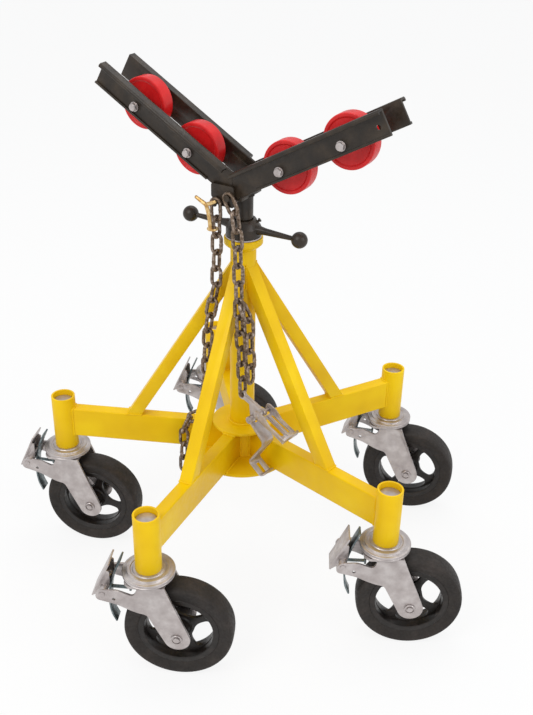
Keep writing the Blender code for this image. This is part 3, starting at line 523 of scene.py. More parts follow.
def piece(name, mesh, material, body, place=None, stands_for=None, sharp_deg=PLAIN_DEG):
    """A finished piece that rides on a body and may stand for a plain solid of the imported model."""
    made = shown(name, mesh.copy())
    if place is not None:
        made.data.transform(place)
    made.data.materials.clear()
    made.data.materials.append(material)
    made.data.shade_smooth()
    made.data.set_sharp_from_angle(angle=math.radians(sharp_deg))
    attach(made, body)
    if stands_for:
        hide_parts(stands_for)
    return made


# Geometry node trees


def open_tree(name, entry, sizes, result):
    """A tree with a mesh, named sizes and a finish as its inputs, and the identifiers of the last two."""
    group = bpy.data.node_groups.new(name, "GeometryNodeTree")
    sockets = group.interface
    sockets.new_socket(name=entry, in_out="INPUT", socket_type="NodeSocketGeometry")
    keys = []
    for label, value in sizes:
        socket = sockets.new_socket(name=label, in_out="INPUT", socket_type="NodeSocketFloat")
        socket.default_value = value
        keys.append(socket.identifier)
    last = sockets.new_socket(name="Finish", in_out="INPUT", socket_type="NodeSocketMaterial")
    sockets.new_socket(name=result, in_out="OUTPUT", socket_type="NodeSocketGeometry")
    return group, [*keys, last.identifier]


def close_tree(group, instances, finish_socket):
    """The tree's end: real geometry in its finish."""
    real = add_node(group, "GeometryNodeRealizeInstances", Geometry=instances).outputs[0]
    dressed = add_node(group, "GeometryNodeSetMaterial", Geometry=real, Material=finish_socket).outputs[0]
    add_node(group, "NodeGroupOutput", i0=dressed)


def through_tree(mesh, tree, values):
    """The mesh after the node tree, as a plain mesh; values go in by the sockets' identifiers."""
    group, keys = tree
    body = shown("body", mesh)
    step = body.modifiers.new("tree", "NODES")
    step.node_group = group
    for identifier, value in zip(keys, values):
        step[identifier] = value
    return settled(body)


RIPPLE_SEED, RIPPLE_LEAST, RIPPLE_MOST = 7, 0.88, 1.08
RIPPLE_SHARE = 0.42


def weld_tree():
    """Overlapping ripples strung along a seam."""
    sizes = (("Bead width", 0.006), ("Ripple pitch", 0.0022))
    group, keys = open_tree("weld bead along a seam", "Seam", sizes, "Bead")
    seam, width, pitch, finish_socket = add_node(group, "NodeGroupInput").outputs[:4]
    curve = add_node(group, "GeometryNodeMeshToCurve", Mesh=seam).outputs[0]
    points = add_node(group, "GeometryNodeCurveToPoints", {"mode": "LENGTH"}, Curve=curve, Length=pitch)
    ripple = add_node(group, "GeometryNodeMeshUVSphere", Segments=8, Rings=6, Radius=0.5).outputs[0]
    spread = {"Seed": RIPPLE_SEED, "i2": RIPPLE_LEAST, "i3": RIPPLE_MOST}
    size = add_node(group, "FunctionNodeRandomValue", {"data_type": "FLOAT"}, **spread)
    wide = add_node(group, "ShaderNodeMath", {"operation": "MULTIPLY"}, i0=width, i1=size.outputs[1])
    spots = {"Points": points.outputs[0], "Rotation": points.outputs[3], "Scale": wide.outputs[0]}
    beads = add_node(group, "GeometryNodeInstanceOnPoints", Instance=ripple, **spots)
    close_tree(group, beads.outputs[0], finish_socket)
    return group, keys


WELD = weld_tree()


def weld(paths, width):
    """Beads along several seams, each a list of points with a flag that closes it."""
    bm = bmesh.new()
    for points, closed in paths:
        verts = [bm.verts.new(point) for point in points]
        for pair in zip(verts, verts[1:]):
            bm.edges.new(pair)
        if closed:
            bm.edges.new((verts[-1], verts[0]))
    return through_tree(plain_mesh(bm), WELD, (width, width * RIPPLE_SHARE, ENAMEL))


# Frame

LEGS = ("left", "front_left", "front_right", "back_right", "back")
HEADINGS = (-10.4, -5.1, -1.8, -12.9, -8.0)
WHEEL_TURNS = (-17.0, 26.0, -31.0, -29.0, 10.0)
COLUMN_RADIUS = 0.02415
COLUMN_WALL = 0.0035
COLUMN_LOW, COLUMN_TOP = 0.2575, 0.7308
COLLAR_RADIUS, COLLAR_TOP = 0.03625, 0.7309
HUB_RADIUS = 0.0362
PLATE_RADIUS, PLATE_LOW, PLATE_TOP = 0.1000, 0.2570, 0.2630
CAP_RADIUS, CAP_LOW, CAP_TOP = 0.0600, 0.3277, 0.3332
TUBE_HALF = 0.0127
LEG_LOW, LEG_TOP = 0.2633, 0.3274
SLEEVE_REACH, SLEEVE_RADIUS, SLEEVE_BORE = 0.3736, 0.02415, 0.02045
SLEEVE_LOW, SLEEVE_TOP = 0.2348, 0.3525
LEG_SECTION = oblong(-TUBE_HALF, TUBE_HALF, LEG_LOW, LEG_TOP)
ALONG_LEG = Matrix(((0, 0, 1, 0), (1, 0, 0, 0), (0, 1, 0, 0), (0, 0, 0, 1)))
OVERRUN, COPE_GAP = 0.01, 0.0001
LEG_BEAD, BRACE_BEAD, POST_BEAD = 0.0050, 0.0036, 0.0045
CAP_SEAM_DEG = 11.5


def leg_turn(index):
    return turn_about("Z", -186.5 + 72.0 * index)


def make_column():
    pipe = tube(COLUMN_RADIUS - COLUMN_WALL, COLUMN_RADIUS, COLUMN_LOW, COLUMN_TOP, 72)
    piece("column_pipe", rounded(pipe, 0.0006), ENAMEL, "frame", column, "column_tube")
    top, bore = COLLAR_TOP, COLUMN_RADIUS - 0.0005
    collar = turned(
        [
            (bore, top),
            (0.0352, top),
            (COLLAR_RADIUS, top - 0.0012),
            (COLLAR_RADIUS, top - 0.0112),
            (0.0352, top - 0.0130),
            (0.0260, top - 0.0214),
            (bore, top - 0.0220),
        ],
        72,
    )
    piece("column_head_collar", collar, ENAMEL, "frame", column, "column_collar", LATHE_DEG)
    low = top + 0.0003
    washer = tube(0.0178, 0.0336, low, low + 0.003, 72)
    piece("nut_thrust_washer", rounded(washer, 0.0004), ZINC, "frame", column, "thrust_washer")


def make_hub():
    bore = COLUMN_RADIUS + 0.0002
    hub = turned(
        [
            (bore, CAP_TOP),
            (CAP_RADIUS, CAP_TOP),
            (CAP_RADIUS, CAP_LOW),
            (HUB_RADIUS, CAP_LOW),
            (HUB_RADIUS, PLATE_TOP),
            (PLATE_RADIUS, PLATE_TOP),
            (PLATE_RADIUS, PLATE_LOW),
            (bore, PLATE_LOW),
        ],
        96,
    )
    piece("hub_weldment", rounded(hub, 0.0009), ENAMEL, "frame", column, "hub")
    seams = [([(*point, CAP_TOP + 0.0005) for point in ring(CENTRE, COLUMN_RADIUS + 0.0012, 48)], True)]
    side, low, high = TUBE_HALF + 0.0005, PLATE_TOP + 0.0010, CAP_LOW - 0.0007
    root = math.sqrt(HUB_RADIUS**2 - side**2)
    edge = math.sqrt(PLATE_RADIUS**2 - side**2) - 0.004
    for index in range(len(LEGS)):
        turn = leg_turn(index)
        for across in (side, -side):
            for end, steps in (((root, across, high), 8), ((edge, across, low), 12)):
                seams.append(([turn @ point for point in line((root, across, low), end, steps)], False))
        arc = ring(CENTRE, CAP_RADIUS + 0.0005, 10, -CAP_SEAM_DEG, 2.0 * CAP_SEAM_DEG, True)
        seams.append(([turn @ Vector((*point, CAP_LOW + 0.0003)) for point in arc], False))
    piece("hub_welds", weld(seams, LEG_BEAD), ENAMEL, "frame", column, sharp_deg=BEAD_DEG)


def make_legs():
    start, end = HUB_RADIUS - 0.003, SLEEVE_REACH - 0.012
    bar = moved(sheet([filleted(LEG_SECTION, 0.0030)], end - start, start), ALONG_LEG)
    seat = shift(SLEEVE_REACH, 0.0, 0.0)
    sleeve = moved(rod(SLEEVE_RADIUS, SLEEVE_LOW, SLEEVE_TOP, 56), seat)
    bore = moved(rod(SLEEVE_BORE, SLEEVE_LOW - OVERRUN, SLEEVE_TOP + OVERRUN, 56), seat)
    cope = rod(HUB_RADIUS + COPE_GAP, LEG_LOW - OVERRUN, LEG_TOP + OVERRUN, 72)
    leg = rounded(combined(bar, [sleeve], [bore, cope]), 0.0007)
    radius = SLEEVE_RADIUS + 0.0006
    foot_seam = []
    for y, z in walked(filleted(LEG_SECTION, 0.004, 4), 6):
        foot_seam.append((SLEEVE_REACH - math.sqrt(radius**2 - y**2), y, z))
    brace, brace_seams = brace_shape()
    beads = together([weld([(foot_seam, True)], LEG_BEAD), weld(brace_seams, BRACE_BEAD)])
    for index, name in enumerate(LEGS):
        turn = column @ leg_turn(index)
        piece("leg_arm_" + name, leg, ENAMEL, "frame", turn, "leg_" + name)
        piece("leg_welds_" + name, beads, ENAMEL, "frame", turn, sharp_deg=BEAD_DEG)
        piece("brace_tube_" + name, brace, ENAMEL, "frame", turn, "brace_" + name)


def brace_shape():
    """A square tube coped to the column and cut level on the leg, with the seams round both ends."""
    top_reach, top_height, foot_reach, cope_reach = 0.0165, 0.665, 0.2219, 0.016
    leg_top = LEG_TOP + 0.0003
    run, rise = foot_reach - top_reach, leg_top - top_height
    length = math.hypot(run, rise)
    outline, tops, feet = [], [], []
    for sign in (TUBE_HALF, -TUBE_HALF):
        reach = top_reach - sign * rise / length
        height = top_height + sign * run / length
        top = (cope_reach, height + (cope_reach - reach) * rise / run)
        foot = (reach + (leg_top - height) * run / rise, leg_top)
        tops.append(height + (COLUMN_RADIUS - reach) * rise / run)
        feet.append(foot[0])
        outline += [top, foot] if sign > 0.0 else [foot, top]
    bar = upright([outline], -TUBE_HALF, TUBE_HALF)
    bore = rod(COLUMN_RADIUS + COPE_GAP, CAP_TOP, COLUMN_TOP, 72)
    brace = rounded(combined(bar, cuts=[bore]), 0.0013)
    foot_outline = walked(oblong(feet[1], feet[0], -TUBE_HALF, TUBE_HALF), 8)
    seams = [([(*point, leg_top + 0.0002) for point in foot_outline], True)]
    for side in (TUBE_HALF + 0.0002, -TUBE_HALF - 0.0002):
        reach = math.sqrt((COLUMN_RADIUS + 0.0004) ** 2 - side**2)
        lift = (reach - COLUMN_RADIUS) * rise / run
        seams.append((line((reach, side, tops[0] + lift), (reach, side, tops[1] + lift)), False))
    return brace, seams


# Casters, each in its own frame: +X from the stem towards the wheel

TRAIL = 0.0535
AXLE_HEIGHT = 0.1016
AXLE = (TRAIL, AXLE_HEIGHT)
PIVOT = (-0.078, 0.196)
FORK_TOP, FORK_NEAR, FORK_FAR = 0.2192, 0.0334, 0.0379


def mount_shape():
    """Plain stem with its bearing plate and raceway, turned."""
    top = 0.2345
    low = top - 0.0150
    stem = 0.0196
    return turned(
        [
            (0.0, top + 0.1075),
            (stem - 0.0012, top + 0.1075),
            (stem, top + 0.1062),
            (stem, top),
            (0.0285, top),
            (0.0295, top - 0.0016),
            (0.0325, top - 0.0016),
            (0.0335, top - 0.0002),
            (0.0392, top - 0.0002),
            (0.0402, top - 0.0024),
            (0.0432, top - 0.0028),
            (0.0440, top - 0.0034),
            (0.0474, top - 0.0036),
            (0.0480, top - 0.0046),
            (0.0480, top - 0.0072),
            (0.0462, top - 0.0080),
            (0.0462, top - 0.0096),
            (0.0478, top - 0.0104),
            (0.0476, low + 0.0034),
            (0.0450, low + 0.0014),
            (0.0400, low),
            (0.0080, low),
            (0.0080, low - 0.0061),
            (0.0125, low - 0.0061),
            (0.0125, low - 0.0116),
            (0.0, low - 0.0116),
        ],
        64,
    )


def fork_outline():
    """Plate of the fork: leg down to the axle's lobe and the arm that carries the pedal."""
    lobe = ring((TRAIL + 0.0008, AXLE_HEIGHT - 0.0008), 0.0242, 30, 20.0, -176.0, ends=True)
    arm = [
        (0.0010, 0.1550),
        (-0.0140, 0.1575),
        (-0.0310, 0.1640),
        (-0.0520, 0.1745),
        (-0.0880, 0.1830),
        (-0.0910, 0.1935),
        (-0.0850, 0.2035),
        (-0.0520, 0.2070),
        (-0.0225, 0.1965),
        (-0.0160, 0.2080),
        (-0.0150, FORK_TOP),
    ]
    return [(0.0340, FORK_TOP)] + lobe[:-1] + eased([lobe[-1]] + arm, 0.008, 5, 0.45)


def yoke_shape():
    """Two fork plates with holes for axle and pedal shaft and a small third hole, under a crown plate."""
    near, far = FORK_NEAR, FORK_FAR
    drilled = ((AXLE, 0.0062, 20), (PIVOT, 0.0053, 16), ((-0.0570, 0.1865), 0.0030, 14))
    loops = [fork_outline()] + [ring(*hole) for hole in drilled]
    plates = [upright(loops, near, far), upright(loops, -far, -near)]
    rim = [(0.034, -far), (0.034, far), (-0.030, far), (-0.040, 0.028), (-0.040, -0.028), (-0.030, -far)]
    crown = sheet([filleted(rim, 0.008), ring(CENTRE, 0.0083, 24)], 0.0055, FORK_TOP - 0.0055)
    return rounded(combined(crown, joins=plates), 0.0011)


def axle_shape():
    """Axle with a turned, grooved head on each fork plate."""
    half = FORK_FAR + 0.0003
    groove = half + 0.0003
    head = turned(
        [
            (0.0, half),
            (0.0104, half),
            (0.0104, half + 0.0014),
            (0.0094, half + 0.0024),
            (0.0087, half + 0.0024),
            (0.0082, groove),
            (0.0060, groove),
            (0.0054, half + 0.0034),
            (0.0, half + 0.0038),
        ],
        36,
        "Y",
    )
    return together([drum(0.006, half + 0.001, 24), head, moved(head, turn_about("X", 180.0))])


def tread_shape():
    """Rubber bonded on the rim, with rolled shoulders and a slightly crowned face."""
    half = [
        (0.0752, 0.0185),
        (0.0775, 0.0196),
        (0.0800, 0.0200),
        (0.0860, 0.0222),
        (0.0925, 0.0240),
        (0.0955, 0.0241),
        (0.0982, 0.0228),
        (0.1000, 0.0196),
        (0.1010, 0.0150),
        (0.1016, 0.0075),
    ]
    return turned(both_sides(half), 96, "Y")


def window_outline(middle_deg):
    """One round-cornered window between two even spokes."""
    middle, reach_half, spoke_half, squareness = 0.0450, 0.0178, 0.0066, 0.66
    points = []
    for x, y in ring(CENTRE, 1.0, 44):
        reach = middle + reach_half * math.copysign(abs(x) ** squareness, x)
        half_width = math.radians(45.0) - math.asin(spoke_half / reach)
        turn = math.radians(middle_deg) + half_width * math.copysign(abs(y) ** squareness, y)
        points.append((reach * math.cos(turn), reach * math.sin(turn)))
    return points


def core_shape():
    """Cast disc with four windows, a rim on each side and a long hub."""
    rim = [(0.0634, 0.0080), (0.0642, 0.0185), (0.0655, 0.0195), (0.0745, 0.0195), (0.0758, 0.0180)]
    web = rod(0.0650, -0.0032, 0.0032, 64)
    windows = [sheet([window_outline(45.0 + 90.0 * step)], 0.03, -0.015) for step in range(4)]
    hub = [(0.0, -0.0327), (0.0150, -0.0327), (0.0162, -0.0312), (0.0205, -0.0060), (0.0230, -0.0034)]
    joins = [turned(both_sides(rim), 80), turned(both_sides(hub), 48)]
    core = combined(combined(web, cuts=windows), joins=joins)
    return moved(rounded(core, 0.0014, 3), UPRIGHT)


def pedal_shape():
    """Bent foot plate with a cheek set in under each edge, on its cross shaft."""
    heel, tip = Vector((-0.1023, 0.1770)), Vector((-0.0692, 0.2500))
    half, thick = 0.0215, 0.003
    cheek_near, cheek_far = half - 0.0050, half - 0.0025
    way = (tip - heel).normalized()
    inward = Vector((way.y, -way.x))
    flat = [heel, tip, tip + inward * thick, heel + inward * thick]
    plate = upright([[tuple(v) for v in flat]], -half, half)
    shoulder = heel.lerp(tip, 0.80)
    x, z = Vector(PIVOT)
    cheek = filleted(
        [
            tuple(heel + inward * 0.001),
            tuple(shoulder + inward * 0.001),
            tuple(shoulder + inward * 0.009),
            (x + 0.0100, z + 0.0120),
            (x + 0.0082, z - 0.0020),
            (x, z - 0.0088),
            (heel.x + 0.0110, heel.y + 0.0040),
            tuple(heel + inward * 0.004),
        ],
        0.0035,
        4,
    )
    joins = [upright([cheek], cheek_near, cheek_far), upright([cheek], -cheek_far, -cheek_near)]
    joins += [drum(0.0078, 0.0331, 28, PIVOT), drum(0.0050, 0.0386, 24, PIVOT)]
    return rounded(combined(plate, joins=joins), 0.0007)


def brake_shape():
    """Bowed brake leaf behind the pedal's shaft, down towards the tread, with its short lock bar."""
    course = [
        (-0.0480, 0.2545),
        (-0.0575, 0.2330),
        (-0.0645, 0.2130),
        (-0.0690, 0.1950),
        (-0.0722, 0.1740),
        (-0.0724, 0.1500),
        (-0.0695, 0.1270),
        (-0.0615, 0.1085),
    ]
    leaf = upright([ribbon(eased(course, 0.009), 0.0034)], -0.0120, 0.0120)
    bar = box((-0.0720, -0.0335), (-0.0036, 0.0036), (0.1812, 0.1842))
    end = box((-0.0365, -0.0325), (-0.0060, 0.0060), (0.1790, 0.1900))
    return rounded(combined(leaf, joins=[bar, end]), 0.0007)


def spring_shape():
    """Return spring coiled on the pedal's shaft beside the leaf."""
    turns, steps, coil, wire, start, width = 7, 14, 0.0094, 0.0009, 0.0125, 0.0115
    rows = []
    for index in range(turns * steps + 1):
        angle = 2.0 * math.pi * index / steps
        out = Vector((math.cos(angle), 0.0, math.sin(angle)))
        centre = out * coil + Vector((0.0, start + width * index / (turns * steps), 0.0))
        rows.append([centre + out * x + Vector((0.0, y, 0.0)) for x, y in ring(CENTRE, wire, 6)])
    return moved(skinned(rows), shift(PIVOT[0], 0.0, PIVOT[1]))


def make_casters():
    mount, yoke, axle = rounded(mount_shape(), 0.0004), yoke_shape(), axle_shape()
    tread, core = tread_shape(), core_shape()
    pedal, leaf, spring = pedal_shape(), brake_shape(), spring_shape()
    for index, name in enumerate(LEGS):
        foot = column @ leg_turn(index) @ shift(SLEEVE_REACH, 0.0, 0.0)
        stem = Matrix.Translation(foot.translation) @ turn_about("Z", HEADINGS[index])
        hub = stem @ shift(TRAIL, 0.0, AXLE_HEIGHT)
        wheel = hub @ turn_about("Y", -WHEEL_TURNS[index])
        swivel, rolling, foot_pedal = "swivel_" + name, "wheel_" + name, "pedal_" + name
        node = "caster_" + name
        piece("swivel_mount_" + name, mount, ZINC, "frame", stem, node + "_mount")
        piece("fork_" + name, yoke, ZINC, swivel, stem, node + "_yoke")
        piece("axle_bolt_" + name, axle, ZINC, swivel, hub, node + "_axle")
        piece("tread_" + name, tread, RUBBER, rolling, wheel, node + "_wheel", LATHE_DEG)
        piece("wheel_core_" + name, core, CORE, rolling, wheel)
        piece("brake_pedal_" + name, pedal, ZINC, foot_pedal, stem, node + "_pedal")
        # The leaf's darker blue-grey colour paints the shade and dark reflections it sits in
        piece("brake_leaf_" + name, leaf, BLUED_IN_PAINTED_SHADE, foot_pedal, stem)
        piece("brake_spring_" + name, spring, ZINC, foot_pedal, stem, sharp_deg=BEAD_DEG)


# Jack

HANDLE_HEADING = 149.5
NUT_LOW, GRIP = 0.7345, 0.7495


def thread_shape(low, high, pitch=0.00635, core=0.0152, crest=0.0174, sides=32):
    """One trapezoidal ridge wound up the post."""
    rows = []
    count = int((high - low) / pitch * sides)
    inside = core - 0.001
    for index in range(count + 1):
        angle = 2.0 * math.pi * index / sides
        height = low + pitch * index / sides
        ends = min(1.0, index / sides, (count - index) / sides)
        out = Vector((math.cos(angle), math.sin(angle), 0.0))
        lift = core + (crest - core) * ends
        section = ((inside, -0.0024), (lift, -0.0011), (lift, 0.0011), (inside, 0.0024))
        rows.append([out * radius + Vector((0.0, 0.0, height + offset)) for radius, offset in section])
    return skinned(rows)


def handle_shapes(sign):
    """One tapered handle arm with its ball, and the neck between them."""
    stops = ((0.026, 0.0088), (0.034, 0.0088), (0.038, 0.0078), (0.046, 0.0066), (0.080, 0.0052))
    stops += ((0.104, 0.0042), (0.110, 0.0042))
    path = [(sign * reach, 0.0, GRIP) for reach, _ in stops]
    arm = swept(path, [radius for _, radius in stops], 24, (0.0, 0.0, 1.0))
    knob = moved(ball(0.0150, 40, 28), shift(sign * 0.1170, 0.0, GRIP) @ turn_about("Y", 90.0))
    neck = turned([(0.0, 0.0), (0.0064, 0.0), (0.0056, 0.005), (0.0, 0.005)], 28)
    return [arm, knob], moved(neck, shift(sign * 0.1040, 0.0, GRIP) @ turn_about("Y", 90.0 * sign))


def make_jack():
    post = turned(
        [
            (0.0, 0.8135),
            (0.0175, 0.8135),
            (0.0175, 0.7680),
            (0.0156, 0.7655),
            (0.0154, 0.3470),
            (0.0134, 0.3450),
            (0.0, 0.3450),
        ],
        64,
    )
    piece("lifting_post", post, BLACK, "head", column, "jack_post")
    piece("post_thread", thread_shape(0.3500, 0.7640), BLACK, "head", column, sharp_deg=THREAD_DEG)
    bore = 0.0178
    nut = turned(
        [
            (bore, GRIP + 0.0170),
            (0.0215, GRIP + 0.0170),
            (0.0232, GRIP + 0.0158),
            (0.0262, GRIP + 0.0100),
            (0.0320, GRIP + 0.0025),
            (0.0325, GRIP + 0.0005),
            (0.0325, NUT_LOW + 0.0010),
            (0.0317, NUT_LOW),
            (bore, NUT_LOW),
        ],
        72,
    )
    (right_joins, right_neck), (left_joins, left_neck) = handle_shapes(1), handle_shapes(-1)
    body = rounded(combined(nut, joins=right_joins + left_joins), 0.0005)
    screw = together([rod(0.0024, -0.002, 0.0040, 20), hexagon(0.0040, 0.0030, 0.0038)])
    aim = turn_about("Z", -HANDLE_HEADING) @ shift(0.0252, 0.0, GRIP + 0.0100) @ turn_about("Y", 52.0)
    whole = together([body, right_neck, left_neck, moved(screw, aim)])
    turn = column @ turn_about("Z", HANDLE_HEADING)
    piece("jack_nut_with_handles", whole, BLACK, "jack_nut", turn, "jack_nut", NUT_DEG)


# Head: +X along the right arm's plan direction, -Y towards the front

HEAD_TURN = turn_about("Z", -30.1)
RISE_DEG = 29.7
RISE = math.radians(RISE_DEG)
VEE = 0.8279
RAIL_IN, RAIL_OUT, RAIL_LENGTH = 0.0340, 0.0390, 0.3280
RAIL_LOW, RAIL_HIGH = -0.0156, 0.0298
ROLLER_SPOTS = (("inner", 0.1077), ("outer", 0.2382))
ROLLER_HOLE, TIP_HOLE = 0.0067, (0.3120, 0.0040, 0.0045)
STUD_SPOTS = ((-0.0030, 0.8185), (-0.0290, 0.8045))


def arm_matrix(name):
    facing = 180.0 if name == "left" else 0.0
    return column @ HEAD_TURN @ shift(0.0, 0.0, VEE) @ turn_about("Z", facing) @ turn_about("Y", -RISE_DEG)


def rail_shape(front, flange_start, tip_hole):
    """Rolled section: web, a top flange with a rolled lip and a short foot lip, mitred at the vee."""
    side = -1.0 if front else 1.0
    slope = math.tan(RISE)
    low, high, inside = RAIL_LOW, RAIL_HIGH, RAIL_IN + 0.0025

    def stick(section, start=None):
        rows = [[], []]
        for across, height in section:
            mitre = max(height * slope, start) if start else height * slope
            rows[0].append((mitre + 0.0003, side * across, height))
            rows[1].append((RAIL_LENGTH, side * across, height))
        return skinned(rows)

    web = stick(filleted(oblong(RAIL_IN, RAIL_OUT, low, high), 0.0012, 3))
    foot = oblong(inside, RAIL_OUT + 0.0040, low + 0.0002, low + 0.0045)
    lip = stick(filleted(foot, 0.0012, 3), 0.052)
    reach = RAIL_OUT + 0.0132
    flange_outline = [
        (inside, high - 0.0045),
        (reach - 0.0050, high - 0.0045),
        (reach - 0.0035, high - 0.0080),
        (reach, high - 0.0075),
        (reach, high - 0.0030),
        (reach - 0.0025, high - 0.0003),
        (inside, high - 0.0003),
    ]
    flange = stick(filleted(flange_outline, 0.0016, 3), flange_start)
    holes = [(spot, 0.0, ROLLER_HOLE) for _, spot in ROLLER_SPOTS] + ([TIP_HOLE] if tip_hole else [])
    cuts = []
    for along, height, radius in holes:
        cutter = rod(radius, RAIL_IN - 0.003, RAIL_OUT + 0.008, 28)
        cuts.append(moved(cutter, shift(along, 0.0, height) @ turn_about("X", -90.0 * side)))
    return rounded(combined(web, joins=[flange, lip], cuts=cuts), 0.0007)


def roller_shape():
    """Turned roller: rolled tread edges, a shallow dished face and a raised hub."""
    half = [
        (0.0069, 0.0180),
        (0.0140, 0.0180),
        (0.0150, 0.0170),
        (0.0158, 0.0128),
        (0.0180, 0.0122),
        (0.0390, 0.0122),
        (0.0415, 0.0135),
        (0.0452, 0.0135),
        (0.0465, 0.0130),
        (0.0473, 0.0118),
        (0.0475, 0.0100),
    ]
    return turned(both_sides(half), 96, "Y")


def roller_bolt_shape():
    """Through bolt with a spacer, a washer and a hexagon on each side."""
    radius, seat = 0.0065, RAIL_OUT + 0.0003
    washer_top, end, chamfer = seat + 0.0014, -seat - 0.0090, 0.0010
    shank = [(0.0, end), (radius - chamfer, end), (radius, end + chamfer), (radius, seat), (0.0, seat)]
    shapes = [turned(shank, 28, "Y")]
    for heading in (90.0, 270.0):
        turn = turn_about("X", heading)
        shapes.append(moved(tube(radius, 0.0100, 0.0183, 0.0337, 32), turn))
        shapes.append(moved(rod(0.0088, seat, washer_top, 36), turn))
        shapes.append(moved(hexagon(0.0078, 0.0055, washer_top), turn))
    return together(shapes)


def on_arm(sign, along, height):
    reach = along * math.cos(RISE) - height * math.sin(RISE)
    return (sign * reach, VEE + along * math.sin(RISE) + height * math.cos(RISE))


def saddle_shape():
    """Bracket on the post: base plate, a V wing inside each rail, front tab and chain studs."""
    inside, front = RAIL_IN - 0.0003, RAIL_OUT + 0.0003
    wing_near, tab_far = inside - 0.006, front + 0.005
    base = box((-0.0165, 0.0165), (-inside, inside), (0.8105, 0.8165))
    length, below, above = 0.060, -0.0115, 0.0180
    wing = [
        (0.0, VEE + below / math.cos(RISE)),
        on_arm(1.0, length, below),
        on_arm(1.0, length, above),
        (0.0, VEE + above / math.cos(RISE)),
        on_arm(-1.0, length, above),
        on_arm(-1.0, length, below),
    ]
    tab = [(-0.041, 0.838), (-0.041, 0.814), (-0.026, 0.799), (0.006, 0.799), (0.006, 0.838)]
    joins = [upright([wing], wing_near, inside), upright([wing], -inside, -wing_near)]
    joins.append(upright([filleted(tab, 0.004, 4)], front, tab_far))
    joins.append(box((-0.026, 0.00825), (-front - 0.0025, -wing_near), (0.8085, 0.8135)))
    body = rounded(combined(base, joins=joins, cuts=[rod(0.0177, 0.806, 0.8136, 64)]), 0.0008)
    root, head = tab_far - 0.003, tab_far + 0.0079
    stud = [(0.0, root), (0.0035, root), (0.0035, head), (0.0050, head)]
    stud += [(0.0062, head + 0.0008), (0.0060, head + 0.0018), (0.0, head + 0.0025)]
    studs = [moved(turned(stud, 28), shift(across, 0.0, height) @ UPRIGHT) for across, height in STUD_SPOTS]
    return together([body] + studs)


def make_head():
    head = column @ HEAD_TURN
    piece("head_bracket", saddle_shape(), BLACK, "head", head, "head_saddle")
    roller, bolt = roller_shape(), roller_bolt_shape()
    seam = [(*point, 0.8105) for point in ring(CENTRE, 0.0175, 40)]
    piece("post_weld", weld([(seam, True)], POST_BEAD), BLACK, "head", head, sharp_deg=BEAD_DEG)
    for name, start in (("right", None), ("left", 0.030)):
        arm = arm_matrix(name)
        for face in ("front", "rear"):
            front = (face == "front") == (name == "right")
            which = name + "_" + face
            rail = rail_shape(front, start, which == "right_front")
            piece("channel_" + which, rail, BLACK, "head", arm, "rail_" + which)
        for spot_name, spot in ROLLER_SPOTS:
            seat = arm @ shift(spot, 0.0, 0.0)
            which = name + "_" + spot_name
            piece("wheel_roller_" + which, roller, RED, "roller_" + which, seat, "roller_" + which, LATHE_DEG)
            piece("through_bolt_" + which, bolt, ZINC, "head", seat, "roller_bolt_" + which)


# Chains: links strung by a node tree on stations one pitch apart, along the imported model's courses

LINK_BEND, LINK_HALF, LINK_WIRE = 0.0094, 0.0100, 0.0034
LINK_PLAY = 0.0006
LINK_WELD_RADIUS, LINK_WELD_SHARES = 0.0041, (0.97, 0.75, 0.97)
PITCH = 2.0 * (LINK_HALF + LINK_BEND - LINK_WIRE) + LINK_PLAY
TAB_THICK, STUD_CLEARANCE, LINK_REST = 0.0050, 0.0006, 0.0040
RIGHT_LINKS, TAIL_LINKS, LEFT_LINKS, DOUBLED_FROM = 12, 5, 19, 6
RIGHT_COURSE = (
    (-0.0130, -0.0480, 0.7890),
    (-0.0095, -0.0520, 0.7560),
    (-0.0080, -0.0560, 0.7100),
    (-0.0050, -0.0720, 0.6300),
    (-0.0040, -0.0735, 0.5800),
    (0.0000, -0.0735, 0.5300),
    (0.0030, -0.0735, 0.4400),
)
LEFT_COURSE = (
    (-0.0470, -0.0310, 0.7500),
    (-0.0490, -0.0300, 0.6400),
    (-0.0590, -0.0300, 0.5950),
    (-0.0640, -0.0300, 0.5600),
    (-0.0680, -0.0290, 0.5000),
    (-0.0700, -0.0220, 0.4200),
    (-0.0760, -0.0170, 0.3550),
    (-0.0950, -0.0155, 0.3425),
    (-0.1165, -0.0150, 0.3380),
    (-0.1190, -0.0150, 0.2000),
)
TENSIONER_TURN = turn_about("Z", -40.0)


def hung_from(spot, course):
    """The course with its first point where the top link's bend rests on its stud."""
    reach = RAIL_OUT + STUD_CLEARANCE + TAB_THICK + LINK_WIRE
    pin = HEAD_TURN @ Vector((spot[0], -reach, spot[1]))
    upward = (pin - Vector(course[0])).normalized()
    return [pin + upward * LINK_REST, *course]


def stations(course, count):
    """Points along the course, each one pitch in a straight line from the last."""
    course = [Vector(point) for point in course]
    here = course[0]
    found = [here]
    segment = 0
    while len(found) <= count:
        while segment < len(course) - 2 and (course[segment + 1] - here).length < PITCH:
            segment += 1
        start, end = course[segment], course[segment + 1]
        way = (end - start).normalized()
        offset = start - here
        half = offset.dot(way)
        along = -half + math.sqrt(max(half * half - offset.length_squared + PITCH * PITCH, 0.0))
        here = start + way * along
        found.append(here)
    return found


def link_turns(points, widths):
    """The middle and the turn of each link between neighbouring points."""
    placed = []
    for index, (high, low) in enumerate(zip(points, points[1:])):
        axis = (high - low).normalized()
        wide = Vector(widths[index % 2])
        wide = (wide - axis * wide.dot(axis)).normalized()
        turn = Matrix((wide, axis, wide.cross(axis))).transposed()
        placed.append(((low + high) / 2, turn.to_euler()))
    return placed


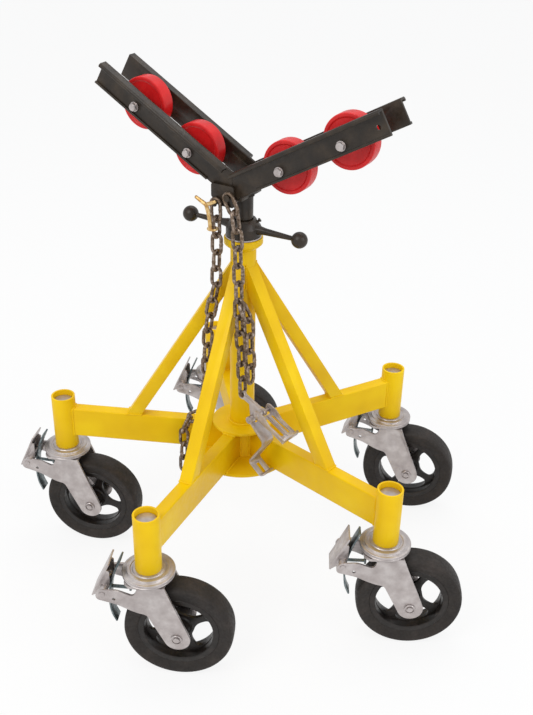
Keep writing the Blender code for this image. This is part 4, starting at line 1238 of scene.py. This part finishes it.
def chain_tree():
    """A round wire bent into a link, with its weld on one side, at every station."""
    sizes = (("Bend radius", LINK_BEND), ("Half straight", LINK_HALF), ("Wire radius", LINK_WIRE))
    group, keys = open_tree("welded links on their stations", "Stations", sizes, "Links")
    places, bend, half, wire, finish_socket = add_node(group, "NodeGroupInput").outputs[:5]
    double = {"operation": "MULTIPLY"}
    width = add_node(group, "ShaderNodeMath", double, i0=bend, i1=2.0).outputs[0]
    total = add_node(group, "ShaderNodeMath", {"operation": "ADD"}, i0=bend, i1=half).outputs[0]
    height = add_node(group, "ShaderNodeMath", double, i0=total, i1=2.0).outputs[0]
    oblong_line = add_node(group, "GeometryNodeCurvePrimitiveQuadrilateral", Width=width, Height=height)
    corners = {"Curve": oblong_line.outputs[0], "Radius": bend, "Count": 8, "Limit_Radius": True}
    bent = add_node(group, "GeometryNodeFilletCurve", {"mode": "POLY"}, **corners).outputs[0]
    section = add_node(group, "GeometryNodeCurvePrimitiveCircle", Resolution=14, Radius=wire).outputs[0]
    link = add_node(group, "GeometryNodeCurveToMesh", Curve=bent, Profile_Curve=section).outputs[0]
    bulge = add_node(group, "GeometryNodeMeshUVSphere", Segments=14, Rings=10, Radius=LINK_WELD_RADIUS)
    side = add_node(group, "ShaderNodeCombineXYZ", X=bend).outputs[0]
    seat = {"Geometry": bulge.outputs[0], "Translation": side, "Scale": LINK_WELD_SHARES}
    link_weld = add_node(group, "GeometryNodeTransform", **seat).outputs[0]
    whole = add_node(group, "GeometryNodeJoinGeometry", i0=link)
    group.links.new(link_weld, whole.inputs[0])
    turn = add_node(group, "GeometryNodeInputNamedAttribute", {"data_type": "FLOAT_VECTOR"}, Name="link_turn")
    euler = add_node(group, "FunctionNodeEulerToRotation", i0=turn.outputs[0]).outputs[0]
    points = add_node(group, "GeometryNodeMeshToPoints", Mesh=places).outputs[0]
    spots = {"Points": points, "Instance": whole.outputs[0], "Rotation": euler}
    close_tree(group, add_node(group, "GeometryNodeInstanceOnPoints", **spots).outputs[0], finish_socket)
    return group, keys


CHAIN = chain_tree()


def strung(placed):
    """Links on the given middles and turns."""
    mesh = bpy.data.meshes.new("stations")
    mesh.from_pydata([tuple(spot) for spot, _ in placed], [], [])
    turns = mesh.attributes.new("link_turn", "FLOAT_VECTOR", "POINT")
    for index, (_, turn) in enumerate(placed):
        turns.data[index].vector = tuple(turn)
    return through_tree(mesh, CHAIN, (LINK_BEND, LINK_HALF, LINK_WIRE, WIRE))


HINGE = (0.0517, -0.0180)
LUG = (0.0288, -0.0402)
LEVER_FALL = 23.0
LEVER_LENGTH = 0.0728
PIN_RADIUS, PIN_BORE, PIN_HALF = 0.0035, 0.0038, 0.0190


def tensioner_body_shape():
    """Flat bar with an eye, a hinge and a lug, and their pins, the hinge's riveted over."""
    half = 0.0035
    hinge, lug = Vector(HINGE), Vector(LUG)
    run = hinge.normalized()
    lean = Vector((-run.y, run.x)) * 0.0050
    bar = upright([[tuple(lean), tuple(-lean), tuple(hinge - lean), tuple(hinge + lean)]], -half, half)
    neck = hinge * (lug.x / hinge.x)
    side = Vector((0.0062, 0.0))
    web = [tuple(neck - side * 1.6), tuple(lug - side), tuple(lug + side), tuple(neck + side * 1.6)]
    joins = [
        drum(0.0085, half, 36),
        drum(0.0075, half, 36, HINGE),
        drum(0.0062, half, 36, LUG),
        upright([web], -half, half),
        drum(PIN_RADIUS, PIN_HALF, 24, HINGE),
        drum(PIN_RADIUS, 0.0150, 24, LUG),
    ]
    body = rounded(combined(bar, joins=joins, cuts=[drum(0.0052, 0.0070, 32)]), 0.0008)
    rivet = [(0.0, PIN_HALF), (0.0056, PIN_HALF), (0.0050, 0.0203), (0.0030, 0.0210), (0.0, 0.0212)]
    head = turned(rivet, 28)
    seat = shift(HINGE[0], 0.0, HINGE[1])
    return together([body] + [moved(head, seat @ turn_about("X", heading)) for heading in (90.0, -90.0)])


def tensioner_lever_shape():
    """Pressed channel with two long slots, a cheek along each side, a rib and a rolled end."""
    half, thick, start, end, wall = 0.0190, 0.0015, 0.0095, LEVER_LENGTH, 0.003
    slots = []
    for sign in (1, -1):
        slots.append(filleted(oblong(0.015, 0.062, sign * 0.0040, sign * 0.0135), 0.004))
    plate = sheet([oblong(start, end, thick - half, half - thick)] + slots, 0.003, -thick)
    cheek = filleted(
        [
            (-0.0090, 0.0060),
            (-0.0030, 0.0105),
            (0.0136, 0.0110),
            (0.0340, 0.0030),
            (end, 0.0030),
            (end, -0.0055),
            (-0.0070, -0.0055),
        ],
        0.0036,
        4,
    )
    loops = [cheek, ring(CENTRE, PIN_BORE, 24)]
    rib = box((start + thick, end - thick), (-0.0028, 0.0028), (0.0, 0.0050))
    lip = box((end - wall, end + thick), (-0.0220, 0.0220), (-0.0028, 0.0070))
    joins = [upright(loops, half - wall, half), upright(loops, -half, wall - half), rib, lip]
    return rounded(combined(plate, joins=joins), 0.0009)


def tensioner_strap_shape():
    """Bent strap with a split knuckle round the lug's pin and a slotted hook at its lower end."""
    course = [(0.0640, -0.0745), (0.0638, -0.0835), (0.0322, -0.1310)]
    course += [(0.0335, -0.1370), (0.0595, -0.1545), (0.0685, -0.1485)]
    half = 0.015
    spot = Vector(LUG)
    begin = spot + (Vector(course[0]) - spot).normalized() * 0.0063
    strip = upright([ribbon(eased([tuple(begin), *course], 0.0035), 0.0036)], -half, half)
    split = box((spot.x - 0.016, spot.x + 0.008), (-0.0044, 0.0044), (spot.y - 0.008, spot.y + 0.024))
    grab = box((0.0385, 0.0600), (-0.0048, 0.0048), (-0.1680, -0.1340))
    cuts = [drum(PIN_BORE, 0.030, 24, LUG), split, grab]
    return rounded(combined(strip, joins=[drum(0.0076, half, 32, LUG)], cuts=cuts), 0.0008)


def make_chains():
    across = HEAD_TURN @ Vector((1.0, 0.0, 0.0))
    toward = HEAD_TURN @ Vector((0.0, -1.0, 0.0))
    right_stud, left_stud = STUD_SPOTS
    right = stations(hung_from(right_stud, RIGHT_COURSE), RIGHT_LINKS)
    joint = right[DOUBLED_FROM]
    held = joint + TENSIONER_TURN @ Vector((0.0060, 0.0, -0.0060))
    offset = TENSIONER_TURN @ Vector((0.0170, 0.0075, 0.0)) - Vector((0.0, 0.0, PITCH))
    tail = stations([held, joint + offset, right[-1] + offset], TAIL_LINKS)
    placed = link_turns(right, (across, toward)) + link_turns(tail, (toward, across))
    piece("right_chain_links", strung(placed), WIRE, "head", column, "right_chain", LINK_DEG)
    left = stations(hung_from(left_stud, LEFT_COURSE), LEFT_LINKS)
    links = strung(link_turns(left, (across, toward)))
    piece("left_chain_links", links, WIRE, "head", column, "left_chain", LINK_DEG)
    eye = column @ Matrix.Translation(right[-1] - Vector((0.0, 0.0, 0.0028))) @ TENSIONER_TURN
    lever = eye @ shift(HINGE[0], 0.0, HINGE[1]) @ turn_about("Y", LEVER_FALL)
    piece("tension_bar", tensioner_body_shape(), ZINC, "head", eye, "tensioner_body")
    piece("tension_lever", tensioner_lever_shape(), ZINC, "tensioner_lever", lever, "tensioner_lever")
    piece("strap_hook", tensioner_strap_shape(), ZINC, "tensioner_strap", eye, "tensioner_strap")
    make_grab_hook(left[1], left[2], toward)


def make_grab_hook(high, low, toward):
    """Ring through a link of the chain, then a stem and two prongs in an upright plane."""
    axis = (high - low).normalized()
    outward = (toward - axis * toward.dot(axis)).normalized()
    back = (high + low) / 2 + outward * (LINK_BEND - LINK_WIRE - 0.0022)
    local = (Matrix.Translation(back) @ HEAD_TURN).inverted()
    ring_radius, ring_wire, stem_wire = 0.0085, 0.0022, 0.0036
    centre = local @ (back + outward * ring_radius)
    up = local.to_3x3() @ axis
    out = local.to_3x3() @ outward
    side = up.cross(out).normalized()
    loop = [centre + out * x + side * y for x, y in ring(CENTRE, ring_radius, 32)]
    root = centre + out * ring_radius
    rising = ((0.0, 0.0, 0.0), (0.0, 0.0, 0.010), (-0.0010, 0.0, 0.0200), (-0.0040, 0.0, 0.0340))
    fork = root + Vector((-0.0080, 0.0, 0.0460))
    stem = [root + Vector(point) for point in rising] + [fork]
    plane = (0.0, 1.0, 0.0)
    shapes = [swept(loop, [ring_wire] * len(loop), 16, up, closed=True)]
    shapes.append(swept(stem, [stem_wire] * len(stem), 20, plane))
    for x, z in ((-0.0310, 0.0570), (0.0125, 0.0560)):
        tip = root + Vector((x, 0.0, z))
        path = [fork.lerp(tip, share) for share in (0.0, 0.3, 0.6, 0.85, 0.96, 1.0)]
        shapes.append(swept(path, (0.0037, 0.0037, 0.0034, 0.0031, 0.0028, 0.0016), 20, plane))
    shapes.append(moved(ball(0.0041, 24, 16), Matrix.Translation(fork)))
    place = column @ Matrix.Translation(back) @ HEAD_TURN
    piece("chain_grab_hook", together(shapes), GOLD, "grab_hook", place, "grab_hook", HOOK_DEG)


make_column()
make_hub()
make_legs()
make_casters()
make_jack()
make_head()
make_chains()

# Floor, light and camera

WHITE = (1.0, 1.0, 1.0, 1.0)
FLOOR_HALF, FLOOR_GREY, FLOOR_WHITE_SHARE = 30.0, (0.80, 0.80, 0.80, 1.0), 0.86
SKY, SKY_STRENGTH = (0.96, 0.98, 1.0, 1.0), 0.82
AIM = Vector((0.0, 0.0, 0.45))
LAMPS = (
    ("key softbox", (-1.6, -1.9, 2.9), 1.6, 37.0, (1.0, 0.98, 0.95)),
    ("fill softbox", (2.4, -1.6, 2.0), 1.8, 20.0, (0.97, 0.98, 1.0)),
    ("top softbox", (0.2, 0.8, 3.2), 1.8, 20.0, (1.0, 1.0, 1.0)),
)
FOCAL_PIXELS, PICTURE_WIDTH, SENSOR_WIDTH = 977.0, 533.0, 36.0
CAMERA_RIGHT = Vector((0.99977, 0.010542, 0.018645))
CAMERA_UP = Vector((-0.021419, 0.492047, 0.870305))
CAMERA_PLACE = Vector((0.04697, -1.66926, 1.41954))


def make_floor():
    """Pale floor whose colour reads white in the picture and keeps a soft shadow."""
    bm = bmesh.new()
    bmesh.ops.create_grid(bm, x_segments=1, y_segments=1, size=FLOOR_HALF)
    floor = shown("floor", plain_mesh(bm))
    made = bpy.data.materials.new("white studio floor")
    made.use_nodes = True
    tree = made.node_tree
    tree.nodes.remove(tree.nodes["Principled BSDF"])
    matt = add_node(tree, "ShaderNodeBsdfDiffuse", Color=FLOOR_GREY).outputs[0]
    white = add_node(tree, "ShaderNodeEmission", Color=WHITE, Strength=1.0).outputs[0]
    rays = add_node(tree, "ShaderNodeLightPath").outputs
    seen = {"i0": rays["Is Camera Ray"], "i1": rays["Is Glossy Ray"]}
    either = add_node(tree, "ShaderNodeMath", {"operation": "MAXIMUM"}, **seen).outputs[0]
    share = add_node(tree, "ShaderNodeMath", {"operation": "MULTIPLY"}, i0=either, i1=FLOOR_WHITE_SHARE)
    mixed = add_node(tree, "ShaderNodeMixShader", i0=share.outputs[0], i1=matt, i2=white).outputs[0]
    tree.links.new(mixed, tree.nodes["Material Output"].inputs["Surface"])
    floor.data.materials.append(made)


def make_light():
    """A pale sky that the camera sees as white, and three softboxes."""
    world = bpy.data.worlds.new("studio")
    bpy.context.scene.world = world
    world.use_nodes = True
    tree = world.node_tree
    sky = tree.nodes["Background"]
    sky.inputs["Color"].default_value = SKY
    sky.inputs["Strength"].default_value = SKY_STRENGTH
    white = add_node(tree, "ShaderNodeBackground", Color=WHITE, Strength=1.0).outputs[0]
    seen = add_node(tree, "ShaderNodeLightPath").outputs["Is Camera Ray"]
    mixed = add_node(tree, "ShaderNodeMixShader", i0=seen, i1=sky.outputs[0], i2=white).outputs[0]
    tree.links.new(mixed, tree.nodes["World Output"].inputs["Surface"])
    for name, place, size, power, tint in LAMPS:
        lamp = bpy.data.lights.new(name, "AREA")
        lamp.size = size
        lamp.energy = power
        lamp.color = tint
        holder = shown(name, lamp)
        holder.location = place
        holder.rotation_euler = (AIM - Vector(place)).to_track_quat("-Z", "Y").to_euler()


def make_camera():
    """The photograph's viewpoint, with its focal length in pixels of the picture's width."""
    lens = bpy.data.cameras.new("camera")
    lens.sensor_fit = "HORIZONTAL"
    lens.sensor_width = SENSOR_WIDTH
    lens.lens = SENSOR_WIDTH * FOCAL_PIXELS / PICTURE_WIDTH
    lens.clip_start = 0.05
    lens.clip_end = 100.0
    camera = shown("camera", lens)
    right, up = CAMERA_RIGHT.normalized(), CAMERA_UP.normalized()
    turn = Matrix((right, up, right.cross(up))).transposed().to_4x4()
    turn.translation = column.translation + CAMERA_PLACE
    camera.matrix_world = turn
    bpy.context.scene.camera = camera
    bpy.context.scene.view_settings.view_transform = "Standard"


make_floor()
make_light()
make_camera()
